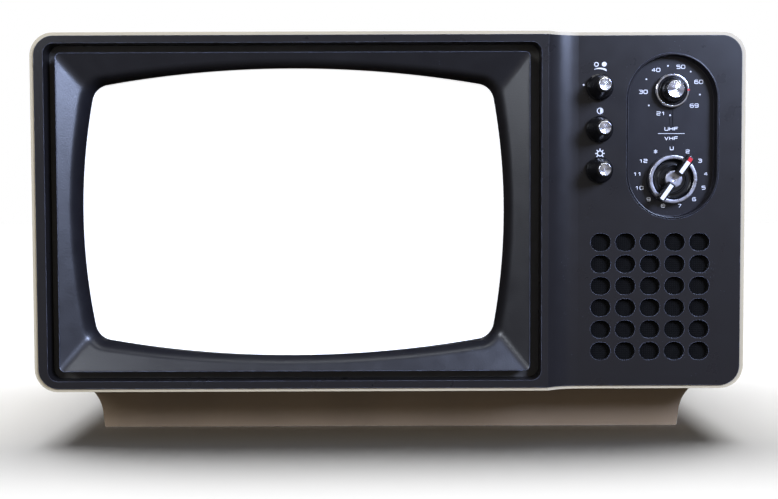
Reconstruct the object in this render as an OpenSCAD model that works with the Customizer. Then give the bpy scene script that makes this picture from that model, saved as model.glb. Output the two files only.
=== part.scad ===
// Portable television set: moulded cabinet on a plinth, picture tube, controls and folding twin-rod aerial.
// Millimetres. +X right, -Y towards the viewer, +Z up. The origin is the centre of the plinth's underside.

/* [Cabinet] */
// Width across the cabinet shell
shell_w = 430; // [428:1:434]
// Height of the cabinet shell, without the plinth
shell_h = 216; // [214:1:218]
// Depth of the cabinet shell behind its front edge
shell_d = 199; // [195:1:205]
// Thickness of the shell's side walls
side_wall = 2.5; // [2.5:0.1:3]
// Thickness of the shell's top and bottom walls
flat_wall = 2; // [2:0.1:2.5]
// Corner radius of the shell, outside
shell_r = 14; // [13:0.5:16]

/* [Plinth] */
// Height of the plinth under the shell
plinth_h = 31; // [29:1:33]
// Width of the plinth where it meets the shell
plinth_top_w = 394; // [386:1:398]
// Width of the plinth at the floor
plinth_foot_w = 371; // [364:1:376]
// Depth of the plinth
plinth_d = 150; // [146:1:152]
// Distance from the surround's front back to the plinth's front
plinth_setback = 45; // [44:1:47]
// Radius of the rubber feet
foot_r = 7; // [5:0.5:9]

/* [Front] */
// Distance from the middle of the set to the step between surround and control panel
step_x = 95; // [94.6:0.2:96]
// How far the control panel lies behind the surround
step_depth = 6.3; // [6:0.1:6.6]
// Width of the cove between the step and the flat of the panel
cove_w = 19; // [15:0.5:20]
// Thickness of the fascia moulding
fascia_t = 3; // [2.6:0.1:3.2]
// Width of the surround's flat rim at the left
rim_side = 5.8; // [5.6:0.1:6.4]
// Width of the flat column between the screen recess and the step
column_w = 4.2; // [4:0.1:4.6]
// Width of the surround's flat rim at top and bottom
rim_flat = 4.6; // [4.4:0.1:5]
// Width of the groove to the left and right of the screen mask
groove_w = 6.4; // [6.2:0.1:6.6]
// Width of the groove above and below the screen mask
groove_h = 5.3; // [5.2:0.1:5.6]

/* [Screen] */
// Half of the screen opening's width
screen_hw = 129.6; // [128:0.2:130]
// Half of the screen opening's height
screen_hh = 87.4; // [86.8:0.1:87.8]
// Bow of the opening's left and right sides
side_bow = 9.4; // [8:0.2:10]
// Bow of the opening's top and bottom
flat_bow = 11.2; // [10:0.2:12]
// Corner radius of the opening
screen_r = 11; // [10:0.5:12]
// Radius of curvature of the tube's face
face_r = 700; // [650:10:900]

/* [Grille] */
// Speaker holes across
grille_cols = 5; // [3:1:5]
// Speaker holes up
grille_rows = 6; // [3:1:6]
// Distance between columns of speaker holes
grille_pitch_x = 14.95; // [14:0.05:15.2]
// Distance between rows of speaker holes
grille_pitch_z = 13.25; // [12.8:0.05:13.5]
// Width of one speaker hole
hole_w = 12.2; // [11.6:0.1:12.4]
// Height of one speaker hole
hole_h = 10.8; // [10.4:0.1:11]

/* [Controls] */
// Radius of a small knob at its base
knob_r = 8; // [7.5:0.1:8.4]
// Height of a small knob with its cap
knob_h = 17; // [15:0.5:19]
// Radius of a small knob's metal cap
cap_r = 3.8; // [3.4:0.1:4]
// Width of the dial plate
dial_w = 55.6; // [54:0.2:56]
// Height of the dial plate
dial_h = 100.2; // [99:0.2:101]
// Depth of the dial plate's floor behind the panel
dial_depth = 5.5; // [4.5:0.1:6]
// Outer radius of the channel selector's ring
selector_r = 14.7; // [14:0.1:15]
// Outer radius of the UHF knob's ring
uhf_r = 10.4; // [10:0.1:11]
// Angle of the channel pointer, clockwise from straight up
pointer_angle = 34; // [0:1:359]

/* [Rear] */
// Depth of the rear cover's body behind the shell
cover_d = 42; // [40:1:46]
// Radius of the bulge over the tube's neck
bulge_r = 42; // [38:1:44]
// How far the bulge stands out behind the cover
bulge_d = 22; // [20:1:26]

/* [Aerial] */
// Length of one rod section
rod_len = 188; // [170:1:188]
// Outer radius of the first rod section
rod_r = 3.4; // [3.2:0.1:3.6]
// Half the distance between the two rods' pivots
pivot_x = 15; // [14:0.5:16]

/* [Hidden] */

cream = "#ddd2b8";
black = "#26272c";
steel = "#b9bcc2";
dark_steel = "#6d7076";
$fn = 64;

// A hair of extra length so that a cutter passes through a face
eps = 0.5;

// Main planes
front_y = -plinth_d / 2 - plinth_setback;
panel_y = front_y + step_depth;
shell_front_y = front_y + 1;
shell_back_y = shell_front_y + shell_d;
shell_z0 = plinth_h;
shell_z1 = plinth_h + shell_h;
shell_mid_z = (shell_z0 + shell_z1) / 2;
inner_w = shell_w - 2 * side_wall;
inner_h = shell_h - 2 * flat_wall;
inner_r = shell_r - flat_wall;
cove_r = (cove_w * cove_w + step_depth * step_depth) / (2 * step_depth);

// Recess around the screen mask, as left, right, bottom and top edges
recess_x0 = -inner_w / 2 + rim_side;
recess_x1 = step_x - column_w;
recess_z0 = shell_mid_z - inner_h / 2 + rim_flat;
recess_z1 = shell_mid_z + inner_h / 2 - rim_flat;
recess_mid = [(recess_x0 + recess_x1) / 2, (recess_z0 + recess_z1) / 2];
recess_size = [recess_x1 - recess_x0, recess_z1 - recess_z0];
recess_r = 6;
groove_depth = 12;
groove_y = front_y + groove_depth;
return_wall = 1.6;
seat_margin = 2;

// Screen mask and picture tube
screen_mid = [recess_mid[0] - 1.6, recess_mid[1]];
mask_shift = recess_mid - screen_mid;
mask_half = [recess_size[0] / 2 - groove_w, recess_size[1] / 2 - groove_h];
mask_front_y = front_y + 1;
mask_t = 1.6;
facet_slope = [0.62, 0.5];
roll_w = 4.8;
lip_y = front_y + 5.5;
face_y = lip_y + 1;
tube_margin = 7;
tube_skirt = 24;
glass_t = 5;
neck_r = 10;
neck_back_y = 118;
band_y = face_y + tube_skirt + 1;
screw_r = 2;
ear_at = [screen_hw + 5.8, screen_hh + 3.7];
funnel_y0 = face_y + 42;
side_steps = 12;
corner_steps = 6;
loop_n = 4 * (side_steps + corner_steps);

// Control panel
knob_gap = 0.5;
small_knob_x = 126.4;
small_knob_z = [213.8, 188.5, 163.9];
dial_mid = [170.9, 184.4];
dial_wall = 1.3;
dial_floor_y = panel_y + dial_depth;
dial_floor_t = 2;
dial_face_y = dial_floor_y - knob_gap;
tuner_y = dial_floor_y + dial_floor_t + 1;
uhf_at = [171.3, 212.1];
vhf_at = [171.4, 158.4];
grille_mid = [157.6, 87.2];
speaker_y = panel_y + fascia_t + 0.8;
shaft_r = 3;
sleeve_r = 4.2;
running = 0.05;
bush_r = 3.8;
pot_r = 8.5;
pot_d = 10;

// Rear cover
cover_y1 = shell_back_y + cover_d;
cover_t = 2.4;
cover_taper = 17;
cover_rise = 14;
cover_fall = 7;
bulge_y1 = cover_y1 + bulge_d;
hold_knob_x = [62, 92];
hold_z = 70;
jack_at = [140, 70];
jack_r = 1.8;
gland_at = [-150, 66];
cord_r = 3.2;
terminal_at = [135, 188];

// Aerial
aerial_y = shell_back_y + 19;
aerial_top_z = shell_z1 + 5;
pivot_z = aerial_top_z + 7.5;
pin_r = 1.5;
eye_r = 3.6;
eye_t = 5;
rod_start = 6.5;
rod_wall = 0.4;
post_r = 4;

// ---------------------------------------------------------------- helpers

// Stands a flat outline drawn in X and Z up, and thickens it from y0 back to y1
module along_y(y0, y1) {
    translate([0, y1, 0])
        rotate([90, 0, 0])
            linear_extrude(y1 - y0)
                children();
}

// Rounded rectangle about its middle, with true arcs
module round_rect(w, h, r) {
    square([w - 2 * r, h], center = true);
    square([w, h - 2 * r], center = true);
    for (x = [-1, 1], z = [-1, 1])
        translate([x * (w / 2 - r), z * (h / 2 - r)])
            circle(r);
}

// Upright slot with round ends
module stadium(w, h) {
    square([w, h - w], center = true);
    for (z = [-1, 1])
        translate([0, z * (h - w) / 2])
            circle(w / 2);
}

// Cylinder whose axis runs front to back at a point of the front view
module rod_y(at, r, y0, y1) {
    translate([at[0], y1, at[1]])
        rotate([90, 0, 0])
            cylinder(r = r, h = y1 - y0);
}

// Body of revolution about a front-to-back axis: the profile holds [radius, distance in front of y]
module turned(at, y, profile) {
    translate([at[0], y, at[1]])
        rotate([90, 0, 0])
            rotate_extrude()
                polygon(profile);
}

module box(lo, hi) {
    translate(lo)
        cube(hi - lo);
}

// Plan of everything behind the front surface, moved back by d: surround, cove and control panel
module front_plan(d) {
    reach = 400;
    translate([0, d]) {
        translate([-reach, front_y])
            square([reach + step_x, reach]);
        translate([step_x, panel_y])
            square([reach, reach]);
        difference() {
            translate([step_x, front_y])
                square([cove_w, step_depth + eps]);
            translate([step_x + cove_w, panel_y - cove_r])
                circle(cove_r, $fn = 128);
        }
    }
}

// Everything behind the front surface, moved back by d
module behind_front(d) {
    linear_extrude(shell_z1 + plinth_h)
        front_plan(d);
}

// ---------------------------------------------------------------- bowed outlines for the screen

function arc_points(c, r, a0, a1, n) =
    [for (i = [0 : n - 1]) c + r * [cos(a0 + (a1 - a0) * i / n), sin(a0 + (a1 - a0) * i / n)]];

// Rectangle with bowed sides and round corners: hw and hh are half sizes at the middle of each side
function bowed(hw, hh, bow_x, bow_z, r) =
    let (rs = (hh * hh + bow_x * bow_x) / (2 * bow_x),
         rt = (hw * hw + bow_z * bow_z) / (2 * bow_z),
         a = hw - rs,
         b = hh - rt,
         d = sqrt(a * a + b * b),
         along = ((rs - r) * (rs - r) - (rt - r) * (rt - r) + d * d) / (2 * d),
         off = sqrt((rs - r) * (rs - r) - along * along),
         p = [a - along * a / d - off * b / d, along * b / d - off * a / d],
         a1 = atan2(p[1], p[0] - a),
         a2 = atan2(p[1] - b, p[0]))
    concat(
        arc_points([a, 0], rs, -a1, a1, side_steps),
        arc_points(p, r, a1, a2, corner_steps),
        arc_points([0, b], rt, a2, 180 - a2, side_steps),
        arc_points([-p[0], p[1]], r, 180 - a2, 180 - a1, corner_steps),
        arc_points([-a, 0], rs, 180 - a1, 180 + a1, side_steps),
        arc_points([-p[0], -p[1]], r, 180 + a1, 180 + a2, corner_steps),
        arc_points([0, -b], rt, 180 + a2, 360 - a2, side_steps),
        arc_points([p[0], -p[1]], r, 360 - a2, 360 - a1, corner_steps));

// The screen opening grown by m
function opening(m) = bowed(screen_hw + m, screen_hh + m, side_bow, flat_bow, screen_r + max(m, 0));

// The tube's outline: the opening with its margin, scaled by s
function tube_outline(s) = s * opening(tube_margin);

// The same number of points on a circle
function round_loop(r) = [for (p = tube_outline(1)) r * p / norm(p)];

// The tube's face falls back from its middle like part of a large sphere
function face_drop(p) = (p[0] * p[0] + p[1] * p[1]) / (2 * face_r);

// Depth of the mask's facets: they fall back from the outer edge, steeper at the sides, and meet in mitres
function facet_drop(p) =
    min(facet_slope[0] * (mask_half[0] - abs(p[0] - mask_shift[0])),
        facet_slope[1] * (mask_half[1] - abs(p[1] - mask_shift[1])));

// The mask's outline drawn in by m, about the middle of the opening
function mask_outline(m, r) =
    [for (p = bowed(mask_half[0] - m, mask_half[1] - m, 0.01, 0.01, r)) p + mask_shift];

// Lifts a loop to a depth y, plus the face's or the facets' fall
function flat_loop(pts, y) = [for (p = pts) [p[0], y, p[1]]];
function face_loop(pts, y) = [for (p = pts) [p[0], y + face_drop(p), p[1]]];
function facet_loop(pts, y) = [for (p = pts) [p[0], y + facet_drop(p), p[1]]];

// Triangles between ring i and ring j of a list of loops
function band(i, j) =
    [for (k = [0 : loop_n - 1])
        let (n = (k + 1) % loop_n, a = i * loop_n, b = j * loop_n)
            for (t = [[a + k, a + n, b + n], [a + k, b + n, b + k]])
                t];

// Joins a list of loops, from the outer back edge over the front to the inside, into a closed frame
module frame_skin(loops) {
    polyhedron(
        [for (l = loops) for (p = l) p],
        [for (i = [0 : len(loops) - 1]) for (t = band((i + 1) % len(loops), i)) t]);
}

// Joins a list of loops into a closed solid, with a point at each end
module capped_skin(first, loops, last) {
    count = len(loops) * loop_n;
    polyhedron(
        concat([for (l = loops) for (p = l) p], [first, last]),
        concat(
            [for (i = [0 : len(loops) - 2]) for (t = band(i, i + 1)) t],
            [for (k = [0 : loop_n - 1]) [count, (k + 1) % loop_n, k]],
            [for (k = [0 : loop_n - 1]) [count + 1, count - loop_n + k, count - loop_n + (k + 1) % loop_n]]));
}

// ---------------------------------------------------------------- cabinet

// Block between a cover screw's place and the side wall, grown by g
module boss_block(p, y0, y1, g) {
    x0 = p[0] > 0 ? p[0] - boss_half[0] - g : -inner_w / 2 - 1;
    x1 = p[0] > 0 ? inner_w / 2 + 1 : p[0] + boss_half[0] + g;
    box([x0, y0, p[1] - boss_half[1] - g], [x1, y1, p[1] + boss_half[1] + g]);
}

module cabinet_shell() {
    color(cream)
        difference() {
            union() {
                difference() {
                    intersection() {
                        translate([0, 0, shell_mid_z])
                            along_y(front_y - eps, shell_back_y)
                                round_rect(shell_w, shell_h, shell_r);
                        behind_front(1);
                    }
                    translate([0, 0, shell_mid_z])
                        along_y(front_y - 1, shell_back_y + eps)
                            round_rect(inner_w, inner_h, inner_r);
                }
                for (p = tower_places)
                    boss_block(p, tower_y0 - boss_d, tower_y0, 0);
            }
            for (p = tower_places)
                rod_y(p, screw_r, tower_y0 - 15, tower_y0 + 1);
        }
}

// End outline of the plinth: it leans in towards the floor and flares out in a concave fillet under the shell
module plinth_outline() {
    flare_r = 24;
    foot = plinth_foot_w / 2;
    top = plinth_top_w / 2;
    lean = 1;
    difference() {
        polygon([[-foot, 0], [foot, 0], [foot + lean, plinth_h - flare_r], [top, plinth_h - flare_r],
                 [top, plinth_h], [-top, plinth_h], [-top, plinth_h - flare_r],
                 [-foot - lean, plinth_h - flare_r]]);
        for (s = [-1, 1])
            translate([s * (foot + lean + flare_r), plinth_h - flare_r])
                circle(flare_r);
    }
}

module base_plinth() {
    plinth_wall = 3;
    bay = (plinth_foot_w - 2 * plinth_wall) / 3;
    color(cream)
        difference() {
            along_y(-plinth_d / 2, plinth_d / 2)
                plinth_outline();
            for (i = [-1 : 1])
                box([i * bay - bay / 2 + 1, -plinth_d / 2 + plinth_wall, plinth_wall],
                    [i * bay + bay / 2 - 1, plinth_d / 2 - plinth_wall, plinth_h + eps]);
            foot_places()
                translate([0, 0, -eps])
                    cylinder(r = foot_r + 0.1, h = 1.5 + eps);
        }
}

module foot_places() {
    for (x = [-1, 1], y = [-1, 1])
        translate([x * (plinth_foot_w / 2 - 20), y * (plinth_d / 2 - 18), 0])
            children();
}

module rubber_feet() {
    color("#1b1b1b")
        foot_places()
            cylinder(r = foot_r, h = 1.5);
}

// ---------------------------------------------------------------- front

module grille_hole() {
    for (x = [-1, 1])
        translate([x * (hole_w - hole_h) / 2, 0])
            circle(hole_h / 2, $fn = 48);
    square([hole_w - hole_h, hole_h], center = true);
}

module grille_holes() {
    for (i = [0 : grille_cols - 1], j = [0 : grille_rows - 1])
        translate([
            (i - (grille_cols - 1) / 2) * grille_pitch_x,
            (j - (grille_rows - 1) / 2) * grille_pitch_z])
                grille_hole();
}

// The recess around the screen mask, grown by m
module recess_outline(m) {
    translate(recess_mid)
        round_rect(recess_size[0] + 2 * m, recess_size[1] + 2 * m, recess_r + m);
}

// The fascia's tray, drawn in by m
module tray_outline(m) {
    translate([0, shell_mid_z])
        round_rect(inner_w - 2 * m, inner_h - 2 * m, inner_r - m);
}

module front_fascia() {
    tray_wall = 2.2;
    tray_depth = 16;
    color(black)
        difference() {
            union() {
                difference() {
                    intersection() {
                        along_y(front_y - eps, front_y + tray_depth)
                            tray_outline(0);
                        behind_front(0);
                    }
                    intersection() {
                        along_y(front_y - eps, front_y + tray_depth + eps)
                            tray_outline(tray_wall);
                        behind_front(fascia_t);
                    }
                }
                along_y(front_y + 1, groove_y)
                    recess_outline(return_wall);
            }
            along_y(front_y - 1, groove_y + eps)
                recess_outline(0);
            translate([dial_mid[0], 0, dial_mid[1]])
                along_y(panel_y - 1, panel_y + fascia_t + 1)
                    stadium(dial_w, dial_h);
            translate([grille_mid[0], 0, grille_mid[1]])
                along_y(panel_y - 1, panel_y + fascia_t + 1)
                    grille_holes();
            for (z = small_knob_z)
                rod_y([small_knob_x, z], bush_r + 0.1, panel_y - 1, panel_y + fascia_t + 1);
        }
}

module screen_mask() {
    edge = 0.8;
    outer = mask_outline(0, 3);
    chamfered = mask_outline(edge, 3);
    inner = mask_outline(mask_t, 2);
    color("#2d2f37") {
        translate([screen_mid[0], 0, screen_mid[1]])
            frame_skin([
                flat_loop(outer, groove_y + 1),
                flat_loop(outer, mask_front_y + edge),
                facet_loop(chamfered, mask_front_y),
                facet_loop(opening(roll_w), mask_front_y),
                facet_loop(opening(roll_w * 0.55), mask_front_y + 0.9),
                facet_loop(opening(roll_w * 0.2), mask_front_y + 3.2),
                face_loop(opening(0), lip_y - 1.2),
                face_loop(opening(0), lip_y + 0.4),
                face_loop(opening(mask_t), lip_y + 0.4),
                facet_loop(opening(roll_w + 0.5), mask_front_y + mask_t),
                facet_loop(inner, mask_front_y + mask_t),
                flat_loop(inner, groove_y + 1)]);
        ear_places()
            along_y(groove_y - 4, band_y)
                difference() {
                    circle(4);
                    circle(screw_r);
                }
        along_y(groove_y, groove_y + 2.5)
            difference() {
                recess_outline(seat_margin);
                translate(recess_mid)
                    square([2 * (mask_half[0] - mask_t) + 1, 2 * (mask_half[1] - mask_t) + 1], center = true);
            }
    }
}

module dial_plate() {
    color(black)
        translate([dial_mid[0], 0, dial_mid[1]])
            difference() {
                along_y(panel_y - 0.4, dial_floor_y + dial_floor_t)
                    stadium(dial_w - 0.2, dial_h - 0.2);
                along_y(panel_y - 1, dial_floor_y)
                    stadium(dial_w - 2 * dial_wall, dial_h - 2 * dial_wall);
                rod_y(uhf_at - dial_mid, shaft_r + 0.5, dial_floor_y - 1, dial_floor_y + dial_floor_t + 1);
                rod_y(vhf_at - dial_mid, sleeve_r + 0.5, dial_floor_y - 1, dial_floor_y + dial_floor_t + 1);
            }
}

module grille_cloth() {
    cloth = [78, 84];
    color("#151412")
        translate([grille_mid[0], 0, grille_mid[1]])
            along_y(panel_y + fascia_t, speaker_y)
                square(cloth, center = true);
}

// ---------------------------------------------------------------- picture tube

module picture_tube() {
    neck_hole = neck_r - 1.6;
    inset = (screen_hw - glass_t) / screen_hw;
    color("#cfd3d6", 0.9)
        translate([screen_mid[0], 0, screen_mid[1]])
            capped_skin(
                [0, face_y, 0],
                concat(
                    [for (s = [0.3, 0.6, 0.85, 1]) face_loop(tube_outline(s), face_y)],
                    [flat_loop(tube_outline(1), face_y + tube_skirt),
                     flat_loop(tube_outline(0.97), funnel_y0 - 6),
                     flat_loop(tube_outline(0.78), funnel_y0 + 22),
                     flat_loop(tube_outline(0.45), funnel_y0 + 52),
                     flat_loop(round_loop(30), 12),
                     flat_loop(round_loop(17), 34),
                     flat_loop(round_loop(neck_r), 46),
                     flat_loop(round_loop(neck_r), neck_back_y),
                     flat_loop(round_loop(neck_hole), neck_back_y),
                     flat_loop(round_loop(neck_hole), 46),
                     flat_loop(round_loop(17 - 3), 32),
                     flat_loop(round_loop(30 - 3), 11),
                     flat_loop(tube_outline(0.45 * inset), funnel_y0 + 50),
                     flat_loop(tube_outline(0.78 * inset), funnel_y0 + 18),
                     flat_loop(tube_outline(0.97 * inset), funnel_y0 - 8),
                     flat_loop(tube_outline(inset), face_y + tube_skirt)],
                    [for (s = [0.9, 0.6, 0.3]) face_loop(tube_outline(s), face_y + glass_t)]),
                [0, face_y + glass_t, 0]);
}

// Corners of the tube band's ears
module ear_places() {
    for (x = [-1, 1], z = [-1, 1])
        translate([screen_mid[0] + x * ear_at[0], 0, screen_mid[1] + z * ear_at[1]])
            children();
}

module tube_band() {
    color(dark_steel)
        difference() {
            union() {
                translate([screen_mid[0], 0, screen_mid[1]])
                    along_y(band_y, band_y + 10)
                        polygon(opening(tube_margin + 1.5));
                for (x = [-1, 1], z = [-1, 1])
                    translate([screen_mid[0] + x * ear_at[0], 0, screen_mid[1] + z * ear_at[1]])
                        along_y(band_y, band_y + 2) {
                            circle(6);
                            rotate(atan2(-z * ear_at[1], -x * ear_at[0]))
                                translate([0, -5])
                                    square([20, 10]);
                        }
            }
            translate([screen_mid[0], 0, screen_mid[1]])
                along_y(band_y - eps, band_y + 10 + eps)
                    polygon(opening(tube_margin + 0.3));
            ear_places()
                along_y(band_y - eps, band_y + 2 + eps)
                    circle(screw_r + 0.2);
        }
}

module tube_screws() {
    color(steel)
        ear_places() {
            along_y(band_y + 2, band_y + 4.5)
                circle(4);
            along_y(groove_y + 2, band_y + 2)
                circle(screw_r);
        }
}

module deflection_yoke() {
    color("#5a3422")
        turned(screen_mid, 56, [[neck_r + 0.6, 0], [24, 0], [24, 6], [34, 14], [46, 38], [46, 44], [32, 44],
                                [18.8, 22], [neck_r + 0.9, 9]]);
}

module tube_socket() {
    board = 24;
    board_y = neck_back_y + 7;
    color("#3a3630") {
        rod_y(screen_mid, 14, neck_back_y, board_y);
        translate([screen_mid[0], 0, screen_mid[1]])
            along_y(board_y, board_y + 1.6)
                square([2 * board, 2 * board], center = true);
    }
}

// ---------------------------------------------------------------- speaker

module speaker_frame() {
    color(steel)
        turned(grille_mid, speaker_y, [
            [33, 0], [38, 0], [38, -1.5], [35, -1.5], [17, -18],
            [17, -20], [9, -20], [9, -18.4], [15.6, -18.4], [33, -2]]);
}

module speaker_cone() {
    color("#2b2723")
        turned(grille_mid, speaker_y, [
            [0, -8.5], [7, -10.8], [32, -0.5], [33, -0.5], [33, -1.3], [7, -12], [0, -9.7]]);
}

module speaker_magnet() {
    color(dark_steel)
        rod_y(grille_mid, 19, speaker_y + 20, speaker_y + 32);
}

// ---------------------------------------------------------------- small controls

// Height of a small knob's body, without its cap
knob_body_h = knob_h - 1.2;

module small_knob(z) {
    color("#17171a")
        turned([small_knob_x, z], panel_y - knob_gap, [
            [shaft_r, 0], [knob_r, 0], [knob_r, 2], [knob_r - 0.7, 2.8], [cap_r + 0.9, knob_body_h - 0.5],
            [cap_r + 0.4, knob_body_h], [0, knob_body_h], [0, knob_body_h - 4], [shaft_r, knob_body_h - 4]]);
}

module small_cap(z) {
    color(steel)
        turned([small_knob_x, z], panel_y - knob_gap - knob_body_h, [
            [0, 0], [cap_r, 0], [cap_r, 0.9], [cap_r - 0.3, 1.2], [0, 1]]);
}

module small_shaft(z) {
    color(steel)
        rod_y([small_knob_x, z], shaft_r, panel_y - knob_gap - knob_body_h + 4, panel_y + fascia_t + 5);
}

module volume_knob() {
    small_knob(small_knob_z[0]);
}

module volume_cap() {
    small_cap(small_knob_z[0]);
}

module volume_shaft() {
    small_shaft(small_knob_z[0]);
}

module contrast_knob() {
    small_knob(small_knob_z[1]);
}

module contrast_cap() {
    small_cap(small_knob_z[1]);
}

module contrast_shaft() {
    small_shaft(small_knob_z[1]);
}

module brightness_knob() {
    small_knob(small_knob_z[2]);
}

module brightness_cap() {
    small_cap(small_knob_z[2]);
}

module brightness_shaft() {
    small_shaft(small_knob_z[2]);
}

// One potentiometer behind the plane y: its bush passes forward through the wall, and its bore is blind
module potentiometer(wall) {
    bore_depth = 6;
    difference() {
        union() {
            rod_y([0, 0], pot_r, 0, pot_d);
            rod_y([0, 0], bush_r, -wall + 0.2, eps);
        }
        rod_y([0, 0], shaft_r + running, -wall - 1, bore_depth);
    }
}

module potentiometers() {
    color(dark_steel) {
        for (z = small_knob_z)
            translate([small_knob_x, panel_y + fascia_t, z])
                potentiometer(fascia_t);
        for (x = hold_knob_x)
            translate([x, cover_y1 - cover_t, hold_z])
                rotate([0, 0, 180])
                    potentiometer(cover_t);
    }
}

// ---------------------------------------------------------------- tuning controls

// Height of the UHF knob's body, and of the selector ring's front and dish floor
uhf_body_h = 9.2;
ring_front = 5.2;
dish_floor = 2.2;

module uhf_knob() {
    color("#17171a")
        turned(uhf_at, dial_face_y, [
            [shaft_r, 0], [uhf_r - 0.8, 0], [uhf_r, 0.6], [uhf_r, 2.6], [uhf_r - 0.5, 3.1],
            [uhf_r - 1.3, 3.1], [uhf_r - 1.6, 2.4], [7.6, 2.4], [6, uhf_body_h - 0.6],
            [5.5, uhf_body_h], [0, uhf_body_h], [0, uhf_body_h - 3], [shaft_r, uhf_body_h - 3]]);
}

module uhf_cap() {
    cap = 5.2;
    color(steel)
        turned(uhf_at, dial_face_y - uhf_body_h, [[0, 0], [cap, 0], [cap, 0.8], [cap - 0.3, 1.1], [0, 0.9]]);
}

module uhf_shaft() {
    color(steel)
        rod_y(uhf_at, shaft_r, dial_face_y - uhf_body_h + 3, tuner_y + 12);
}

module tuner_can(at, size, depth) {
    translate([at[0], 0, at[1]])
        along_y(tuner_y, tuner_y + depth)
            square(size, center = true);
}

module uhf_tuner() {
    color(steel)
        difference() {
            tuner_can(uhf_at, [40, 42], 55);
            rod_y(uhf_at, shaft_r + running, tuner_y - 1, tuner_y + 13);
        }
}

module fine_tuning_ring() {
    color("#8e8f94")
        turned(vhf_at, dial_face_y, [
            [sleeve_r, 0], [selector_r - 0.8, 0], [selector_r, 0.8], [selector_r, ring_front - 0.4],
            [selector_r - 0.4, ring_front], [selector_r - 2.4, ring_front],
            [selector_r - 2.9, ring_front - 0.8], [selector_r - 3.6, dish_floor + 0.4],
            [7, dish_floor], [sleeve_r, dish_floor]]);
}

module fine_tuning_sleeve() {
    color(steel)
        difference() {
            rod_y(vhf_at, sleeve_r, dial_face_y - dish_floor, tuner_y + 11);
            rod_y(vhf_at, shaft_r + running, dial_face_y - dish_floor - 1, tuner_y + 12);
        }
}

// Hub with two upright fins in line, the pointer to the upper right
module selector_knob() {
    hub = 5.3;
    hub_back = dish_floor + 0.4;
    hub_front = 6.6;
    fin_w = 4.6;
    fin_back = ring_front + 0.4;
    fin_front = 11.6;
    fin_r0 = 3.4;
    fin_r1 = 15.8;
    color("#e8e8ea")
        difference() {
            union() {
                rod_y(vhf_at, hub, dial_face_y - hub_front, dial_face_y - hub_back);
                translate([vhf_at[0], 0, vhf_at[1]])
                    along_y(dial_face_y - fin_front, dial_face_y - fin_back)
                        for (turn = [0, 180])
                            rotate(turn - pointer_angle)
                                translate([0, (fin_r0 + fin_r1) / 2])
                                    square([fin_w, fin_r1 - fin_r0], center = true);
            }
            rod_y(vhf_at, shaft_r, dial_face_y - hub_front + 1.2, dial_face_y);
        }
}

module selector_shaft() {
    color(steel)
        rod_y(vhf_at, shaft_r, dial_face_y - 5.4, tuner_y + 24);
}

module vhf_tuner() {
    color(steel)
        difference() {
            tuner_can(vhf_at, [42, 41], 85);
            rod_y(vhf_at, sleeve_r + running, tuner_y - 1, tuner_y + 12);
            rod_y(vhf_at, shaft_r + running, tuner_y + 11, tuner_y + 26);
        }
}

// ---------------------------------------------------------------- chassis

chassis_z = shell_z0 + flat_wall;
chassis_t = 1.2;
board_z = chassis_z + 11;
board_t = 1.6;

module chassis_frame() {
    side_x = 104;
    color(dark_steel) {
        box([-190, -58, chassis_z], [side_x, 70, chassis_z + chassis_t]);
        box([side_x, -58, chassis_z], [side_x + chassis_t, 70, chassis_z + 150]);
        for (x = [-100, 90], y = [-12, 62])
            translate([x, y, chassis_z])
                cylinder(r = 4, h = board_z - chassis_z);
    }
}

module main_board() {
    color("#8a6a3a")
        box([-110, -20, board_z], [99, 71, board_z + board_t]);
}

module flyback_transformer() {
    at = [72, 30, board_z + board_t];
    color("#22252b")
        translate(at) {
            cylinder(r = 16, h = 40);
            translate([-21, -8, 0])
                cube([42, 16, 24]);
        }
}

module power_transformer() {
    lo = [-184, -6, chassis_z + chassis_t];
    color(dark_steel) {
        box(lo, lo + [54, 44, 42]);
        box(lo + [9, -7, 6], lo + [45, 51, 36]);
    }
}

module filter_capacitors() {
    color("#27466e")
        for (x = [-14, 10, 34])
            translate([x, 56, board_z + board_t])
                cylinder(r = 9, h = 32);
}

// ---------------------------------------------------------------- rear cover

tower_places = [for (x = [-186, 186], z = [58, 222]) [x, z]];
tower_y0 = shell_back_y - 2;
tower_r = 6.5;
boss_half = [8, 6.5];
boss_d = 18;
boss_gap = 0.3;

// Tapered block between the shell's back and the cover's back, its walls drawn in by t
module cover_block(t, y0, y1) {
    side = inner_w / 2 - t;
    low = shell_z0 + flat_wall + t;
    high = shell_z1 - flat_wall - t;
    intersection() {
        along_y(y0, y1)
            tray_outline(t);
        linear_extrude(2 * shell_z1)
            polygon([
                [-side, y0], [side, y0], [side, shell_back_y], [side - cover_taper, cover_y1],
                [side - cover_taper, y1 + 1], [cover_taper - side, y1 + 1],
                [cover_taper - side, cover_y1], [-side, shell_back_y]]);
        translate([-shell_w, 0, 0])
            rotate([90, 0, 90])
                linear_extrude(2 * shell_w)
                    polygon([
                        [y0, low], [shell_back_y, low], [cover_y1, low + cover_rise],
                        [y1 + 1, low + cover_rise], [y1 + 1, high - cover_fall],
                        [cover_y1, high - cover_fall], [shell_back_y, high], [y0, high]]);
    }
}

module vent_slots() {
    slot = [3.4, 62];
    for (x = concat([for (i = [0 : 7]) -176 + 9 * i], [for (i = [0 : 11]) 2 + 9 * i]))
        translate([x, 188])
            stadium(slot[0], slot[1]);
    for (i = [0 : 12])
        translate([-84 + 9 * i, 66])
            stadium(slot[0], 30);
}

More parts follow.
